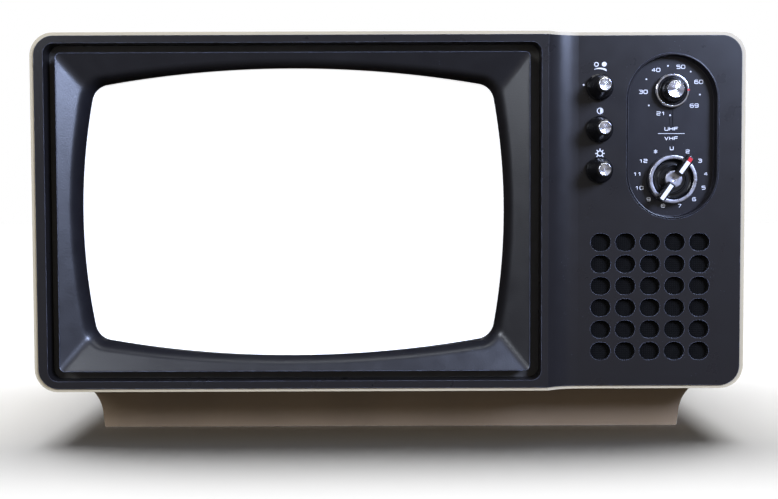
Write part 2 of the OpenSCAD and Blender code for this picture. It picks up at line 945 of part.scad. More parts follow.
module rear_cover() {
    lip_d = 6;
    color("#3b3833")
        difference() {
            union() {
                difference() {
                    union() {
                        cover_block(0, shell_back_y, cover_y1);
                        rod_y(screen_mid, bulge_r, cover_y1 - 1, bulge_y1);
                    }
                    cover_block(cover_t, shell_back_y - eps, cover_y1 - cover_t);
                    rod_y(screen_mid, bulge_r - cover_t, cover_y1 - 2 * cover_t, bulge_y1 - cover_t);
                }
                difference() {
                    cover_block(0.2, shell_back_y - lip_d, shell_back_y + 1);
                    cover_block(cover_t, shell_back_y - lip_d - eps, shell_back_y + 2);
                    for (p = tower_places)
                        boss_block(p, tower_y0 - boss_d, tower_y0, boss_gap);
                }
                for (p = tower_places)
                    rod_y(p, tower_r, tower_y0, cover_y1 - 1);
            }
            for (p = tower_places) {
                rod_y(p, 4.4, tower_y0 + 4, cover_y1 + 1);
                rod_y(p, screw_r + 0.2, tower_y0 - 1, cover_y1 + 1);
            }
            along_y(cover_y1 - 2 * cover_t, cover_y1 + 1)
                vent_slots();
            aerial_block(0.1);
            for (x = hold_knob_x)
                rod_y([x, hold_z], bush_r + 0.1, cover_y1 - 2 * cover_t, cover_y1 + 1);
            rod_y(jack_at, 5.6, cover_y1 - 2 * cover_t, cover_y1 + 1);
            rod_y(gland_at, 6.1, cover_y1 - 2 * cover_t, cover_y1 + 1);
            terminal_screw_places()
                rod_y([0, 0], 1.7, cover_y1 - 2 * cover_t, cover_y1 + 1);
        }
}

module rear_screws() {
    color(steel)
        for (p = tower_places) {
            rod_y(p, 3.8, tower_y0 + 4, tower_y0 + 6.5);
            rod_y(p, screw_r, tower_y0 - 14, tower_y0 + 4);
        }
}

module terminal_screw_places() {
    for (x = [-15, -5, 5, 15])
        translate([terminal_at[0] + x, 0, terminal_at[1]])
            children();
}

module terminal_board() {
    color("#4a3320")
        difference() {
            translate([terminal_at[0], 0, terminal_at[1]])
                along_y(cover_y1, cover_y1 + 2)
                    round_rect(44, 20, 3);
            terminal_screw_places()
                rod_y([0, 0], 1.7, cover_y1 - 1, cover_y1 + 3);
        }
}

module terminal_screws() {
    color(steel)
        terminal_screw_places() {
            rod_y([0, 0], 3.2, cover_y1 + 2, cover_y1 + 4.4);
            rod_y([0, 0], 1.5, cover_y1 - 6, cover_y1 + 2);
        }
}

module earphone_jack() {
    jack_len = 16;
    jack_y1 = cover_y1 + 1.5;
    color("#202020")
        difference() {
            union() {
                rod_y(jack_at, 5.5, jack_y1 - jack_len, jack_y1);
                rod_y(jack_at, 7, cover_y1, cover_y1 + 1);
            }
            rod_y(jack_at, jack_r, jack_y1 - jack_len + 1.5, jack_y1 + 1);
        }
}

module mains_gland() {
    color("#161616")
        difference() {
            union() {
                rod_y(gland_at, 6, cover_y1 - 7, cover_y1 + 1);
                rod_y(gland_at, 8.5, cover_y1, cover_y1 + 2.5);
            }
            rod_y(gland_at, cord_r, cover_y1 - 8, cover_y1 + 4);
        }
}

// Knurled knob with its shaft in one moulding
module hold_knob(x) {
    knurls = 16;
    knurl_at = 7.5;
    knurl_r = 0.9;
    color("#17171a")
        difference() {
            union() {
                rod_y([x, hold_z], 7, cover_y1 + 0.6, cover_y1 + 9);
                rod_y([x, hold_z], shaft_r, cover_y1 - cover_t - 5, cover_y1 + 1);
            }
            for (i = [0 : knurls - 1])
                translate([x, 0, hold_z])
                    rotate([0, i * 360 / knurls, 0])
                        rod_y([knurl_at, 0], knurl_r, cover_y1 + 2, cover_y1 + 10);
        }
}

module vertical_hold_knob() {
    hold_knob(hold_knob_x[0]);
}

module horizontal_hold_knob() {
    hold_knob(hold_knob_x[1]);
}

// ---------------------------------------------------------------- aerial

// Block that holds both rods, grown by g
module aerial_block(g) {
    half = [34, 13];
    box([-half[0] - g, aerial_y - half[1] - g, shell_z1 - 19 - g],
        [half[0] + g, aerial_y + half[1] + g, aerial_top_z + g]);
}

module aerial_base() {
    color(black)
        difference() {
            aerial_block(0);
            for (x = [-1, 1])
                translate([x * pivot_x, aerial_y, aerial_top_z - 17])
                    cylinder(r = post_r + running, h = 20);
        }
}

// Upright post with a flange and a fork for the rod's eye
module aerial_post(side) {
    flange_z = aerial_top_z + 0.3;
    ear_t = 2.2;
    slot = eye_t + 0.2;
    color(black)
        translate([side * pivot_x, aerial_y, 0])
            difference() {
                union() {
                    translate([0, 0, aerial_top_z - 16])
                        cylinder(r = post_r, h = 16.5);
                    translate([0, 0, flange_z])
                        cylinder(r = 7, h = 1.7);
                    box([-4, -slot / 2 - ear_t, flange_z + 1], [4, slot / 2 + ear_t, pivot_z]);
                    rod_y([0, pivot_z], 4, -slot / 2 - ear_t, slot / 2 + ear_t);
                }
                box([-6, -slot / 2, flange_z + 1.7], [6, slot / 2, pivot_z + 6]);
                rod_y([0, pivot_z], pin_r, -10, 10);
            }
}

module left_post() {
    aerial_post(-1);
}

module right_post() {
    aerial_post(1);
}

module aerial_pin(side) {
    reach = eye_t / 2 + 2.8;
    color(steel)
        rod_y([side * pivot_x, pivot_z], pin_r, aerial_y - reach, aerial_y + reach);
}

module left_pin() {
    aerial_pin(-1);
}

module right_pin() {
    aerial_pin(1);
}

// Turns a rod drawn along +X from its pivot to point to its own side
module place_rod(side) {
    translate([side * pivot_x, aerial_y, pivot_z])
        rotate([0, 0, side > 0 ? 0 : 180])
            children();
}

module rod_x(r, x0, x1) {
    translate([x0, 0, 0])
        rotate([0, 90, 0])
            cylinder(r = r, h = x1 - x0);
}

// Outermost section with the eye that turns on the pin
module rod_section_1(side) {
    color(steel)
        place_rod(side)
            difference() {
                union() {
                    rod_x(rod_r, rod_start, rod_start + rod_len);
                    rod_y([0, 0], eye_r, -eye_t / 2, eye_t / 2);
                    box([0, -eye_t / 2, -2.4], [rod_start + 1, eye_t / 2, 2.4]);
                }
                rod_x(rod_r - rod_wall, rod_start + 4, rod_start + rod_len + 1);
                rod_y([0, 0], pin_r + running, -eye_t, eye_t);
            }
}

module rod_section_2(side) {
    outer = rod_r - rod_wall - running;
    color(steel)
        place_rod(side)
            difference() {
                rod_x(outer, rod_start + 5, rod_start + rod_len + 0.8);
                rod_x(outer - rod_wall, rod_start + 8, rod_start + rod_len + 2);
            }
}

module rod_section_3(side) {
    outer = rod_r - 2 * (rod_wall + running);
    tip_x = rod_start + rod_len + 1.4;
    color(steel)
        place_rod(side) {
            rod_x(outer, rod_start + 9, tip_x + 1);
            translate([tip_x, 0, 0])
                rotate([0, 90, 0])
                    rotate_extrude()
                        polygon([[0, 0], [rod_r, 0], [rod_r, 2.6], [rod_r - 0.8, 3.6], [0, 3.6]]);
        }
}

module left_rod_1() {
    rod_section_1(-1);
}

module left_rod_2() {
    rod_section_2(-1);
}

module left_rod_3() {
    rod_section_3(-1);
}

module right_rod_1() {
    rod_section_1(1);
}

module right_rod_2() {
    rod_section_2(1);
}

module right_rod_3() {
    rod_section_3(1);
}

// ---------------------------------------------------------------- build

cabinet_shell();
base_plinth();
rubber_feet();
front_fascia();
screen_mask();
dial_plate();
grille_cloth();
picture_tube();
tube_band();
tube_screws();
deflection_yoke();
tube_socket();
speaker_frame();
speaker_cone();
speaker_magnet();
volume_knob();
volume_cap();
volume_shaft();
contrast_knob();
contrast_cap();
contrast_shaft();
brightness_knob();
brightness_cap();
brightness_shaft();
potentiometers();
uhf_knob();
uhf_cap();
uhf_shaft();
uhf_tuner();
fine_tuning_ring();
fine_tuning_sleeve();
selector_knob();
selector_shaft();
vhf_tuner();
chassis_frame();
main_board();
flyback_transformer();
power_transformer();
filter_capacitors();
rear_cover();
rear_screws();
terminal_board();
terminal_screws();
earphone_jack();
mains_gland();
vertical_hold_knob();
horizontal_hold_knob();
aerial_base();
left_post();
left_pin();
left_rod_1();
left_rod_2();
left_rod_3();
right_post();
right_pin();
right_rod_1();
right_rod_2();
right_rod_3();
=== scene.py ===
import math

import bmesh
import bpy
from mathutils import Matrix, Vector


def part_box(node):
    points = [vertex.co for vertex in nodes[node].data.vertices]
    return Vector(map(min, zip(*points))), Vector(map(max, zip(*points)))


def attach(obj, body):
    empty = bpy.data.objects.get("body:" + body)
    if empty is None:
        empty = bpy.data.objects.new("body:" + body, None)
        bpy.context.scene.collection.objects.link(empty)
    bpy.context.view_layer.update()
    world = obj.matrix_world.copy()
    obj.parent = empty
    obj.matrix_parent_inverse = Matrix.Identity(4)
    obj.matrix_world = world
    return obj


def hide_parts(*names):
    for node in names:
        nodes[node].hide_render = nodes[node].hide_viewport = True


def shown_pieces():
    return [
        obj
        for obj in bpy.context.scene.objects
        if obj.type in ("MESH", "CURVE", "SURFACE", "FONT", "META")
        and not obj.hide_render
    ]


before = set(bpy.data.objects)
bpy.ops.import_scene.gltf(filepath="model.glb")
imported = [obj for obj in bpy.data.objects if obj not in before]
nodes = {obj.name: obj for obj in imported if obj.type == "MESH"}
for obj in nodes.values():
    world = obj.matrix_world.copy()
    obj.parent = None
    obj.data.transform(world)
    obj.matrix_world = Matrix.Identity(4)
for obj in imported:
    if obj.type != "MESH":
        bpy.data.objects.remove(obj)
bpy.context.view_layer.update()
MM = 0.001

# ---------------------------------------------------------------- places, all from the frame, in millimetres


def node_box(name):
    lo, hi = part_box(name)
    return lo / MM, hi / MM


def middle_of(name):
    lo, hi = node_box(name)
    return (lo + hi) / 2


FRONT_Y = node_box("front_fascia")[0].y
DIAL_LO, DIAL_HI = node_box("dial_plate")
DIAL_LIP, DIAL_FLOOR, KNOB_GAP = 0.4, 2, 0.5
PANEL_Y = DIAL_LO.y + DIAL_LIP
DIAL_FLOOR_Y = DIAL_HI.y - DIAL_FLOOR
DIAL_FACE_Y = DIAL_FLOOR_Y - KNOB_GAP
UHF_MID = middle_of("uhf_cap")
VHF_MID = middle_of("fine_tuning_ring")
SCREEN_MID = middle_of("picture_tube")
MASK_LO, MASK_HI = node_box("screen_mask")
SMALL_KNOBS = {name: middle_of(name + "_cap") for name in ("volume", "contrast", "brightness")}

# ---------------------------------------------------------------- colours and material nodes


def srgb(r, g, b):
    """Linear colour from 0 to 255 display values."""
    def channel(v):
        v /= 255
        return v / 12.92 if v <= 0.04045 else ((v + 0.055) / 1.055) ** 2.4
    return (channel(r), channel(g), channel(b), 1)


def scaled(colour, k):
    return tuple(min(1, c * k) for c in colour[:3]) + (1,)


class Finish:
    """A node material that is built up from layers, with texture positions in metres on the object."""

    def __init__(self, name, colour, rough, metallic=0.0, specular=0.5, coat=0.0, coat_rough=0.1):
        self.material = bpy.data.materials.new(name)
        self.material.use_nodes = True
        self.tree = self.material.node_tree
        self.shader = self.tree.nodes["Principled BSDF"]
        self.colour = colour
        self.height = None
        self.shader.inputs["Base Color"].default_value = colour
        self.shader.inputs["Roughness"].default_value = rough
        self.shader.inputs["Metallic"].default_value = metallic
        self.shader.inputs["Specular IOR Level"].default_value = specular
        self.shader.inputs["Coat Weight"].default_value = coat
        self.shader.inputs["Coat Roughness"].default_value = coat_rough
        self.rough = rough
        self.where = self.add("ShaderNodeTexCoord").outputs["Object"]
        self.source = None

    def add(self, kind, **values):
        node = self.tree.nodes.new(kind)
        for key, value in values.items():
            setattr(node, key, value)
        return node

    def link(self, a, b):
        self.tree.links.new(a, b)

    def stretched(self, scale):
        """Texture positions pulled out along an axis, for brushed and woven looks."""
        mapping = self.add("ShaderNodeMapping")
        mapping.inputs["Scale"].default_value = scale
        self.link(self.where, mapping.inputs["Vector"])
        return mapping.outputs["Vector"]

    def noise(self, scale, detail, where=None):
        node = self.add("ShaderNodeTexNoise")
        node.inputs["Scale"].default_value = scale
        node.inputs["Detail"].default_value = detail
        self.link(where or self.where, node.inputs["Vector"])
        return node.outputs["Fac"]

    def ranged(self, value, lo, hi, a, b):
        """Maps lo to a and hi to b, and holds the result between them."""
        node = self.add("ShaderNodeMapRange")
        for key, number in zip(("From Min", "From Max", "To Min", "To Max"), (lo, hi, a, b)):
            node.inputs[key].default_value = number
        self.link(value, node.inputs["Value"])
        return node.outputs["Result"]

    def math(self, operation, a, b):
        node = self.add("ShaderNodeMath", operation=operation)
        for socket, value in zip(node.inputs, (a, b)):
            if isinstance(value, (int, float)):
                socket.default_value = value
            else:
                self.link(value, socket)
        return node.outputs["Value"]

    def tint(self, mask, colour):
        """Mixes another colour in where the mask is 1."""
        mix = self.add("ShaderNodeMix", data_type="RGBA")
        self.link(mask, mix.inputs[0])
        if self.source is None:
            mix.inputs[6].default_value = self.colour
        else:
            self.link(self.source, mix.inputs[6])
        mix.inputs[7].default_value = colour
        self.source = mix.outputs[2]
        self.link(self.source, self.shader.inputs["Base Color"])
        return self

    def mottle(self, scale, dark, light):
        """Slow patches a little darker and lighter than the base colour."""
        middle, highest, lowest = 0.5, 0.72, 0.3
        value = self.noise(scale, 4)
        self.tint(self.ranged(value, middle, highest, 0, 1), scaled(self.colour, light))
        return self.tint(self.ranged(value, middle, lowest, 0, 1), scaled(self.colour, dark))

    def vary_rough(self, scale, spread, where=None):
        """Roughness that wanders about its base value by the spread."""
        value = self.noise(scale, 5, where)
        varied = self.ranged(value, 0.3, 0.7, self.rough - spread, self.rough + spread)
        self.link(varied, self.shader.inputs["Roughness"])
        return self

    def bump(self, value, depth):
        """Adds a bump of the given depth in millimetres."""
        node = self.add("ShaderNodeBump")
        node.inputs["Distance"].default_value = depth * MM
        node.inputs["Strength"].default_value = 1
        self.link(value, node.inputs["Height"])
        if self.height is not None:
            self.link(self.height, node.inputs["Normal"])
        self.height = node.outputs["Normal"]
        self.link(self.height, self.shader.inputs["Normal"])
        return self

    def grain(self, size, depth):
        """Moulded grain with features of the given size in millimetres."""
        return self.bump(self.noise(0.5 / (size * MM), 3), depth)

    def specks(self, size, share, colour):
        """Sparse specks of dust: the cores of a few cells, in patches that cover the given share."""
        spacing, speck_edge, speck_core = 6, 0.1, 0.06
        patch_fade, strongest = 0.05, 0.8
        cells = self.add("ShaderNodeTexVoronoi")
        cells.inputs["Scale"].default_value = 1 / (size * spacing * MM)
        self.link(self.where, cells.inputs["Vector"])
        near = self.ranged(cells.outputs["Distance"], speck_edge, speck_core, 0, 1)
        pick = self.ranged(self.noise(60, 2), 1 - share, 1 - share + patch_fade, 0, strongest)
        return self.tint(self.math("MULTIPLY", near, pick), colour)

    def worn_edges(self, radius, colour, amount):
        """Edges painted lighter, found where a normal rounded over the radius differs from the real one; on
        the fascia and the mask this is a painted edge highlight.
        """
        unworn, worn = 0.96, 0.84
        bevel = self.add("ShaderNodeBevel", samples=4)
        bevel.inputs["Radius"].default_value = radius * MM
        dot = self.add("ShaderNodeVectorMath", operation="DOT_PRODUCT")
        self.link(bevel.outputs["Normal"], dot.inputs[0])
        self.link(self.add("ShaderNodeNewGeometry").outputs["Normal"], dot.inputs[1])
        edge = self.ranged(dot.outputs["Value"], unworn, worn, 0, amount)
        broken = self.ranged(self.noise(260, 5), 0.35, 0.65, 0.25, 1)
        return self.tint(self.math("MULTIPLY", edge, broken), colour)


def moulded(name, colour, rough, size=0.35, depth=0.02, spread=0.06, specular=0.5, mottle=(0.86, 1.12)):
    """Moulded plastic with grain; size and depth are the grain's, in millimetres."""
    finish = Finish(name, colour, rough, specular=specular)
    finish.mottle(22, *mottle)
    finish.vary_rough(90, spread)
    return finish.grain(size, depth)


def plated(name, colour, rough, along=(1, 1, 1), depth=0.004):
    """Metal with fine brushing along one axis and some cloudy patches."""
    finish = Finish(name, colour, rough, metallic=1.0)
    finish.mottle(70, 0.8, 1.12)
    lines = finish.stretched(along)
    finish.vary_rough(400, 0.08, where=lines)
    return finish.bump(finish.noise(900, 2, lines), depth)


# A lighter cream painted along the edges of the cream shell and the tan plinth.
EDGE_CREAM = srgb(196, 184, 158)
PANEL_DUST = srgb(104, 108, 120)
CUT_STEEL = srgb(190, 190, 194)
LEGEND_WHITE = srgb(232, 232, 236)


def make_finishes():
    """Every finish that a CAD piece is made of, by its slot's name."""
    f = {}
    cream = srgb(192, 177, 145)
    f["cream_plastic"] = (moulded("cream_plastic", cream, 0.42, size=0.5, depth=0.018, mottle=(0.93, 1.04))
                          .specks(0.5, 0.42, srgb(150, 140, 120)).worn_edges(0.8, EDGE_CREAM, 0.5))
    # Darker than the shell's cream: the plinth's tan is painted shade, standing in for the cabinet's shadow
    # over it.
    tan = srgb(138, 117, 91)
    f["plinth_plastic"] = (moulded("plinth_plastic", tan, 0.5, size=0.5, depth=0.02, mottle=(0.88, 1.08))
                           .specks(0.5, 0.45, srgb(110, 98, 76)).worn_edges(0.9, EDGE_CREAM, 0.5))
    f["foot_rubber"] = moulded("foot_rubber", srgb(26, 26, 26), 0.85, size=0.8, depth=0.05)
    panel = srgb(30, 28, 29)
    # The fascia's pale blue edge lines are a painted highlight, standing in for light caught on its eased
    # edges.
    f["fascia_plastic"] = (moulded("fascia_plastic", panel, 0.29, size=0.4, depth=0.006, spread=0.02,
                                   specular=0.33, mottle=(0.97, 1.03))
                           .specks(0.3, 0.42, PANEL_DUST).worn_edges(0.6, srgb(158, 164, 186), 0.55))
    mask = srgb(28, 27, 30)
    # The mask's pale blue edge lines are a painted highlight, standing in for light caught on its eased
    # edges.
    f["mask_plastic"] = (moulded("mask_plastic", mask, 0.36, size=0.5, depth=0.045, spread=0.04,
                                 specular=0.85, mottle=(0.93, 1.08))
                         .specks(0.35, 0.4, srgb(104, 110, 124)).worn_edges(0.6, srgb(150, 158, 182), 0.7))
    dial = srgb(29, 28, 32)
    f["dial_plastic"] = (moulded("dial_plastic", dial, 0.3, size=0.4, depth=0.004, spread=0.02,
                                 specular=0.36, mottle=(0.97, 1.03))
                         .specks(0.25, 0.42, PANEL_DUST))
    f["cover_plastic"] = (moulded("cover_plastic", srgb(52, 49, 45), 0.55, size=0.9, depth=0.07,
                                  mottle=(0.85, 1.15))
                          .specks(0.5, 0.45, srgb(120, 114, 104)).worn_edges(0.9, srgb(92, 87, 79), 0.5))
    f["knob_plastic"] = (moulded("knob_plastic", srgb(16, 16, 18), 0.22, size=0.4, depth=0.002, spread=0.06)
                         .specks(0.3, 0.45, srgb(70, 72, 78)))
    f["aerial_plastic"] = (moulded("aerial_plastic", srgb(32, 32, 34), 0.42, size=0.45, depth=0.015)
                           .worn_edges(0.5, srgb(82, 82, 86), 0.4))
    f["jack_plastic"] = moulded("jack_plastic", srgb(30, 30, 31), 0.3, size=0.4, depth=0.004)
    f["gland_rubber"] = moulded("gland_rubber", srgb(30, 30, 30), 0.75, size=0.6, depth=0.03)
    f["socket_plastic"] = moulded("socket_plastic", srgb(74, 66, 58), 0.5)
    f["flyback_resin"] = moulded("flyback_resin", srgb(40, 46, 58), 0.25, depth=0.01)
    f["capacitor_sleeve"] = moulded("capacitor_sleeve", srgb(40, 74, 128), 0.25, depth=0.004)
    f["pointer_plastic"] = moulded("pointer_plastic", LEGEND_WHITE, 0.28, depth=0.003, mottle=(0.95, 1.03))
    f["speaker_paper"] = moulded("speaker_paper", srgb(52, 48, 44), 0.95, size=0.6, depth=0.08)
    f["magnet_ferrite"] = moulded("magnet_ferrite", srgb(70, 70, 74), 0.7, size=0.6, depth=0.05)
    f["transformer_iron"] = moulded("transformer_iron", srgb(96, 90, 86), 0.5, size=0.5, depth=0.04)
    f["yoke_winding"] = winding()
    f["speaker_cloth"] = woven("speaker_cloth", srgb(12, 11, 10), srgb(5, 5, 4), 0.95, specular=0.15)
    f["board_laminate"] = woven("board_laminate", srgb(150, 118, 62), srgb(120, 90, 44), 0.55)
    f["terminal_laminate"] = woven("terminal_laminate", srgb(92, 64, 42), srgb(70, 46, 30), 0.5)
    f["zinc_steel"] = plated("zinc_steel", srgb(176, 178, 180), 0.4)
    f["screw_steel"] = plated("screw_steel", CUT_STEEL, 0.3)
    f["shaft_steel"] = plated("shaft_steel", CUT_STEEL, 0.3, along=(1, 0.1, 1))
    f["pot_steel"] = plated("pot_steel", srgb(160, 160, 164), 0.42)
    f["tuner_steel"] = plated("tuner_steel", srgb(186, 188, 190), 0.36)
    f["chassis_steel"] = plated("chassis_steel", srgb(168, 168, 164), 0.45, along=(0.1, 1, 1))
    f["selector_silver"] = plated("selector_silver", srgb(176, 176, 184), 0.33)
    f["rod_chrome"] = plated("rod_chrome", srgb(222, 222, 228), 0.38, along=(0.05, 1, 1), depth=0.001)
    f["tube_glass"] = tube_coating()
    f["spun_aluminium"] = spun("spun_aluminium", Vector((0, 0, 0)))
    return {key: finish.material for key, finish in f.items()}


THREAD_SCALE = 260


def woven(name, thread, gap, rough, specular=0.5):
    """Cloth or fibre laminate: two crossed sets of threads."""
    finish = Finish(name, thread, rough, specular=specular)
    bands = []
    for axis in ("X", "Z"):
        wave = finish.add("ShaderNodeTexWave", wave_type="BANDS", bands_direction=axis)
        wave.inputs["Scale"].default_value = THREAD_SCALE
        wave.inputs["Distortion"].default_value = 0.6
        finish.link(finish.where, wave.inputs["Vector"])
        bands.append(wave.outputs["Fac"])
    weave = finish.math("MULTIPLY", *bands)
    finish.tint(finish.ranged(weave, 0.35, 0.05, 0, 1), gap)
    finish.vary_rough(200, 0.05)
    return finish.bump(weave, 0.15)


def winding():
    """Enamelled wire wound around the yoke."""
    finish = Finish("yoke_winding", srgb(146, 78, 44), 0.35)
    wave = finish.add("ShaderNodeTexWave", wave_type="RINGS", rings_direction="Y")
    wave.inputs["Scale"].default_value = THREAD_SCALE
    wave.inputs["Distortion"].default_value = 1.5
    finish.link(finish.where, wave.inputs["Vector"])
    finish.tint(finish.ranged(wave.outputs["Fac"], 0.4, 0.0, 0, 1), srgb(70, 34, 20))
    return finish.bump(wave.outputs["Fac"], 0.3)


def tube_coating():
    """Dark conductive paint on the tube's funnel."""
    finish = moulded("tube_glass", srgb(52, 52, 56), 0.35, size=1.2, depth=0.05)
    return finish.specks(0.8, 0.4, srgb(110, 110, 112))


def spun(name, centre, sector_turn=0.0):
    """Turned metal face: fine rings about a front-to-back axis, and bright and dark sectors by angle that are
    painted highlight and painted shade.
    """
    ring_pitch = 0.22
    broad, narrow, narrow_share = 2, 5, 0.35
    dark, bright = srgb(120, 120, 128), srgb(250, 250, 252)
    finish = Finish(name, srgb(206, 206, 212), 0.24, metallic=1.0)
    finish.shader.inputs["Anisotropic"].default_value = 0.7
    place = finish.add("ShaderNodeVectorMath", operation="SUBTRACT")
    finish.link(finish.where, place.inputs[0])
    place.inputs[1].default_value = centre * MM
    parts = finish.add("ShaderNodeSeparateXYZ")
    finish.link(place.outputs["Vector"], parts.inputs["Vector"])
    x, z = parts.outputs["X"], parts.outputs["Z"]
    radius = finish.math("SQRT", finish.math("ADD", finish.math("MULTIPLY", x, x),
                                             finish.math("MULTIPLY", z, z)), 0)
    rings = finish.math("SINE", finish.math("MULTIPLY", radius, 2 * math.pi / (ring_pitch * MM)), 0)
    angle = finish.math("ARCTAN2", z, x)
    turned = finish.math("ADD", angle, sector_turn)
    sectors = finish.math("SINE", finish.math("MULTIPLY", turned, broad), 0)
    finer = finish.math("SINE", finish.math("MULTIPLY", turned, narrow), 0)
    shade = finish.math("ADD", sectors, finish.math("MULTIPLY", finer, narrow_share))
    # Painted shade and painted highlight: dark and bright sectors by angle about the middle, in place of the
    # rings' reflections.
    finish.tint(finish.ranged(shade, 0.1, 1.1, 0, 0.75), dark)
    finish.tint(finish.ranged(shade, -0.2, -1.2, 0, 0.8), bright)
    return finish.bump(rings, 0.006)


FINISHES = make_finishes()

# ---------------------------------------------------------------- mesh helpers, in millimetres

SHARP_FROM = 38
PINHOLE = 1e-6
SAME_POINT = 1e-4


def piece(name, mesh, materials, body, replaces=()):
    """Turns a bmesh in millimetres into a named piece in metres that rides on a body."""
    bmesh.ops.recalc_face_normals(mesh, faces=mesh.faces)
    bmesh.ops.scale(mesh, vec=(MM, MM, MM), verts=mesh.verts)
    data = bpy.data.meshes.new(name)
    mesh.to_mesh(data)
    mesh.free()
    data.polygons.foreach_set("use_smooth", [True] * len(data.polygons))
    data.set_sharp_from_angle(angle=math.radians(SHARP_FROM))
    for material in materials:
        data.materials.append(material)
    made = bpy.data.objects.new(name, data)
    bpy.context.scene.collection.objects.link(made)
    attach(made, body)
    if replaces:
        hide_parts(*replaces)
    return made


def softened(profile, radius, steps=3):
    """The open profile with each inner corner turned into a small curve."""
    reach = 0.45
    out = [profile[0]]
    for before, here, after in zip(profile, profile[1:], profile[2:]):
        p, a, b = Vector(here[:2]), Vector(before[:2]), Vector(after[:2])
        cut = min(radius, (a - p).length * reach, (b - p).length * reach)
        start, end = p + (a - p).normalized() * cut, p + (b - p).normalized() * cut
        for i in range(steps + 1):
            t = i / steps
            q = start * (1 - t) ** 2 + p * 2 * t * (1 - t) + end * t * t
            out.append((q.x, q.y) + tuple(here[2:]))
    return out + [profile[-1]]


def lathe(mesh, at, y, profile, soft):
    """Body of revolution about a front-to-back axis, from an axis point to an axis point.

    Profile rows: radius, distance in front of y, and the material if it isn't the first one.
    """
    count = 96
    rows = softened(profile, soft)
    rings = []
    for row in rows:
        r, d = row[:2]
        if r < PINHOLE:
            rings.append([mesh.verts.new((at[0], y - d, at[1]))])
            continue
        turns = [2 * math.pi * i / count for i in range(count)]
        circle = [(at[0] + r * math.cos(a), at[1] + r * math.sin(a)) for a in turns]
        rings.append([mesh.verts.new((x, y - d, z)) for x, z in circle])
    for k, (a, b) in enumerate(zip(rings, rings[1:])):
        index = rows[k + 1][2] if len(rows[k + 1]) > 2 else 0
        for i in range(count):
            j = (i + 1) % count
            ring = [a[i], a[j]] if len(a) > 1 else [a[0]]
            ring += [b[j], b[i]] if len(b) > 1 else [b[0]]
            mesh.faces.new(ring).material_index = index
    return mesh


def prism(mesh, outline, y0, y1, index=0, bevel=0.0):
    """Flat outline in X and Z, from y0 back to y1, with its front edge eased by the bevel."""
    front = [mesh.verts.new((x, y0, z)) for x, z in outline]
    back = [mesh.verts.new((x, y1, z)) for x, z in outline]
    top = mesh.faces.new(front)
    faces = [top, mesh.faces.new(back[::-1])]
    for i in range(len(outline)):
        j = (i + 1) % len(outline)
        faces.append(mesh.faces.new((front[i], back[i], back[j], front[j])))
    for face in faces:
        face.material_index = index
    if bevel:
        bmesh.ops.bevel(mesh, geom=list(top.edges), offset=bevel, segments=2, profile=0.6, affect="EDGES",
                        material=index)


def turned_outline(outline, at, clockwise):
    """Places an outline drawn about the origin, turned clockwise from upright, in degrees."""
    a = math.radians(-clockwise)
    return [(at[0] + x * math.cos(a) - z * math.sin(a), at[1] + x * math.sin(a) + z * math.cos(a))
            for x, z in outline]


def rounded_line(points, radius, closed):
    """A polyline with its inner corners rounded, or every corner if it is closed."""
    steps = 5
    if closed:
        return softened(points + points[:2], radius, steps)[1:-1]
    return softened(points, radius, steps)


def ribbon(mesh, points, width, y0, y1, closed=False):
    """A stroke of even width along a line in X and Z, as a closed thin solid."""
    sharpest = 0.5
    pts = [Vector(p) for p in points]
    clean = [pts[0]]
    for p in pts[1:]:
        if (p - clean[-1]).length > SAME_POINT:
            clean.append(p)
    if closed and (clean[0] - clean[-1]).length < SAME_POINT:
        clean.pop()
    count = len(clean)
    left, right = [], []
    for i, p in enumerate(clean):
        before = clean[i - 1] if i or closed else None
        after = clean[(i + 1) % count] if i < count - 1 or closed else None
        u = (p - before).normalized() if before is not None else (after - p).normalized()
        v = (after - p).normalized() if after is not None else u
        normal = (Vector((-u.y, u.x)) + Vector((-v.y, v.x))).normalized()
        reach = width / 2 / max(sharpest, normal.dot(Vector((-u.y, u.x))))
        left.append(p + normal * reach)
        right.append(p - normal * reach)
    rows = [[mesh.verts.new((q.x, y, q.y)) for q in side]
            for side, y in ((left, y0), (right, y0), (right, y1), (left, y1))]
    last = count if closed else count - 1
    for i in range(last):
        j = (i + 1) % count
        for a, b in ((0, 1), (1, 2), (2, 3), (3, 0)):
            mesh.faces.new((rows[a][i], rows[a][j], rows[b][j], rows[b][i]))
    if not closed:
        for i in (0, count - 1):
            mesh.faces.new([row[i] for row in rows])


def disc_outline(at, r, count, a0=0.0, a1=360.0):
    """Points around a disc, or along its arc from a0 to a1 degrees."""
    full = a1 - a0 >= 360
    steps = count if full else count + 1
    return [(at[0] + r * math.cos(math.radians(a0 + (a1 - a0) * i / count)),
             at[1] + r * math.sin(math.radians(a0 + (a1 - a0) * i / count))) for i in range(steps)]


# ---------------------------------------------------------------- screen mask and tube, with fine loops

SEAT_MARGIN = 2.0
GROOVE = (6.4, 5.3)
MASK_MID = middle_of("screen_mask")
MASK_SHIFT = (MASK_MID.x - SCREEN_MID.x, MASK_MID.z - SCREEN_MID.z)
MASK_FACE = ((MASK_HI.x - MASK_LO.x) / 2 - SEAT_MARGIN - GROOVE[0],
             (MASK_HI.z - MASK_LO.z) / 2 - SEAT_MARGIN - GROOVE[1])
OPENING_HALF = (129.6, 87.4)
SIDE_BOW, FLAT_BOW, OPENING_R = 9.4, 11.2, 11.0
FACET_SLOPE = (0.62, 0.5)
MASK_FRONT_Y = FRONT_Y + 1
MASK_BACK_Y = FRONT_Y + 13
MASK_WALL = 1.6
EDGE_EASE = ((0, 0.8), (0.12, 0.35), (0.4, 0.1))  # drawn in by, and set back by
EDGE_INSET = 0.8
SEAT_FRONT_Y, SEAT_BACK_Y = FRONT_Y + 12, FRONT_Y + 14.5
LIP_Y = FRONT_Y + 5.5
LIP_DEPTH = 0.4
FACE_Y = LIP_Y + 1
FACE_R = 700.0
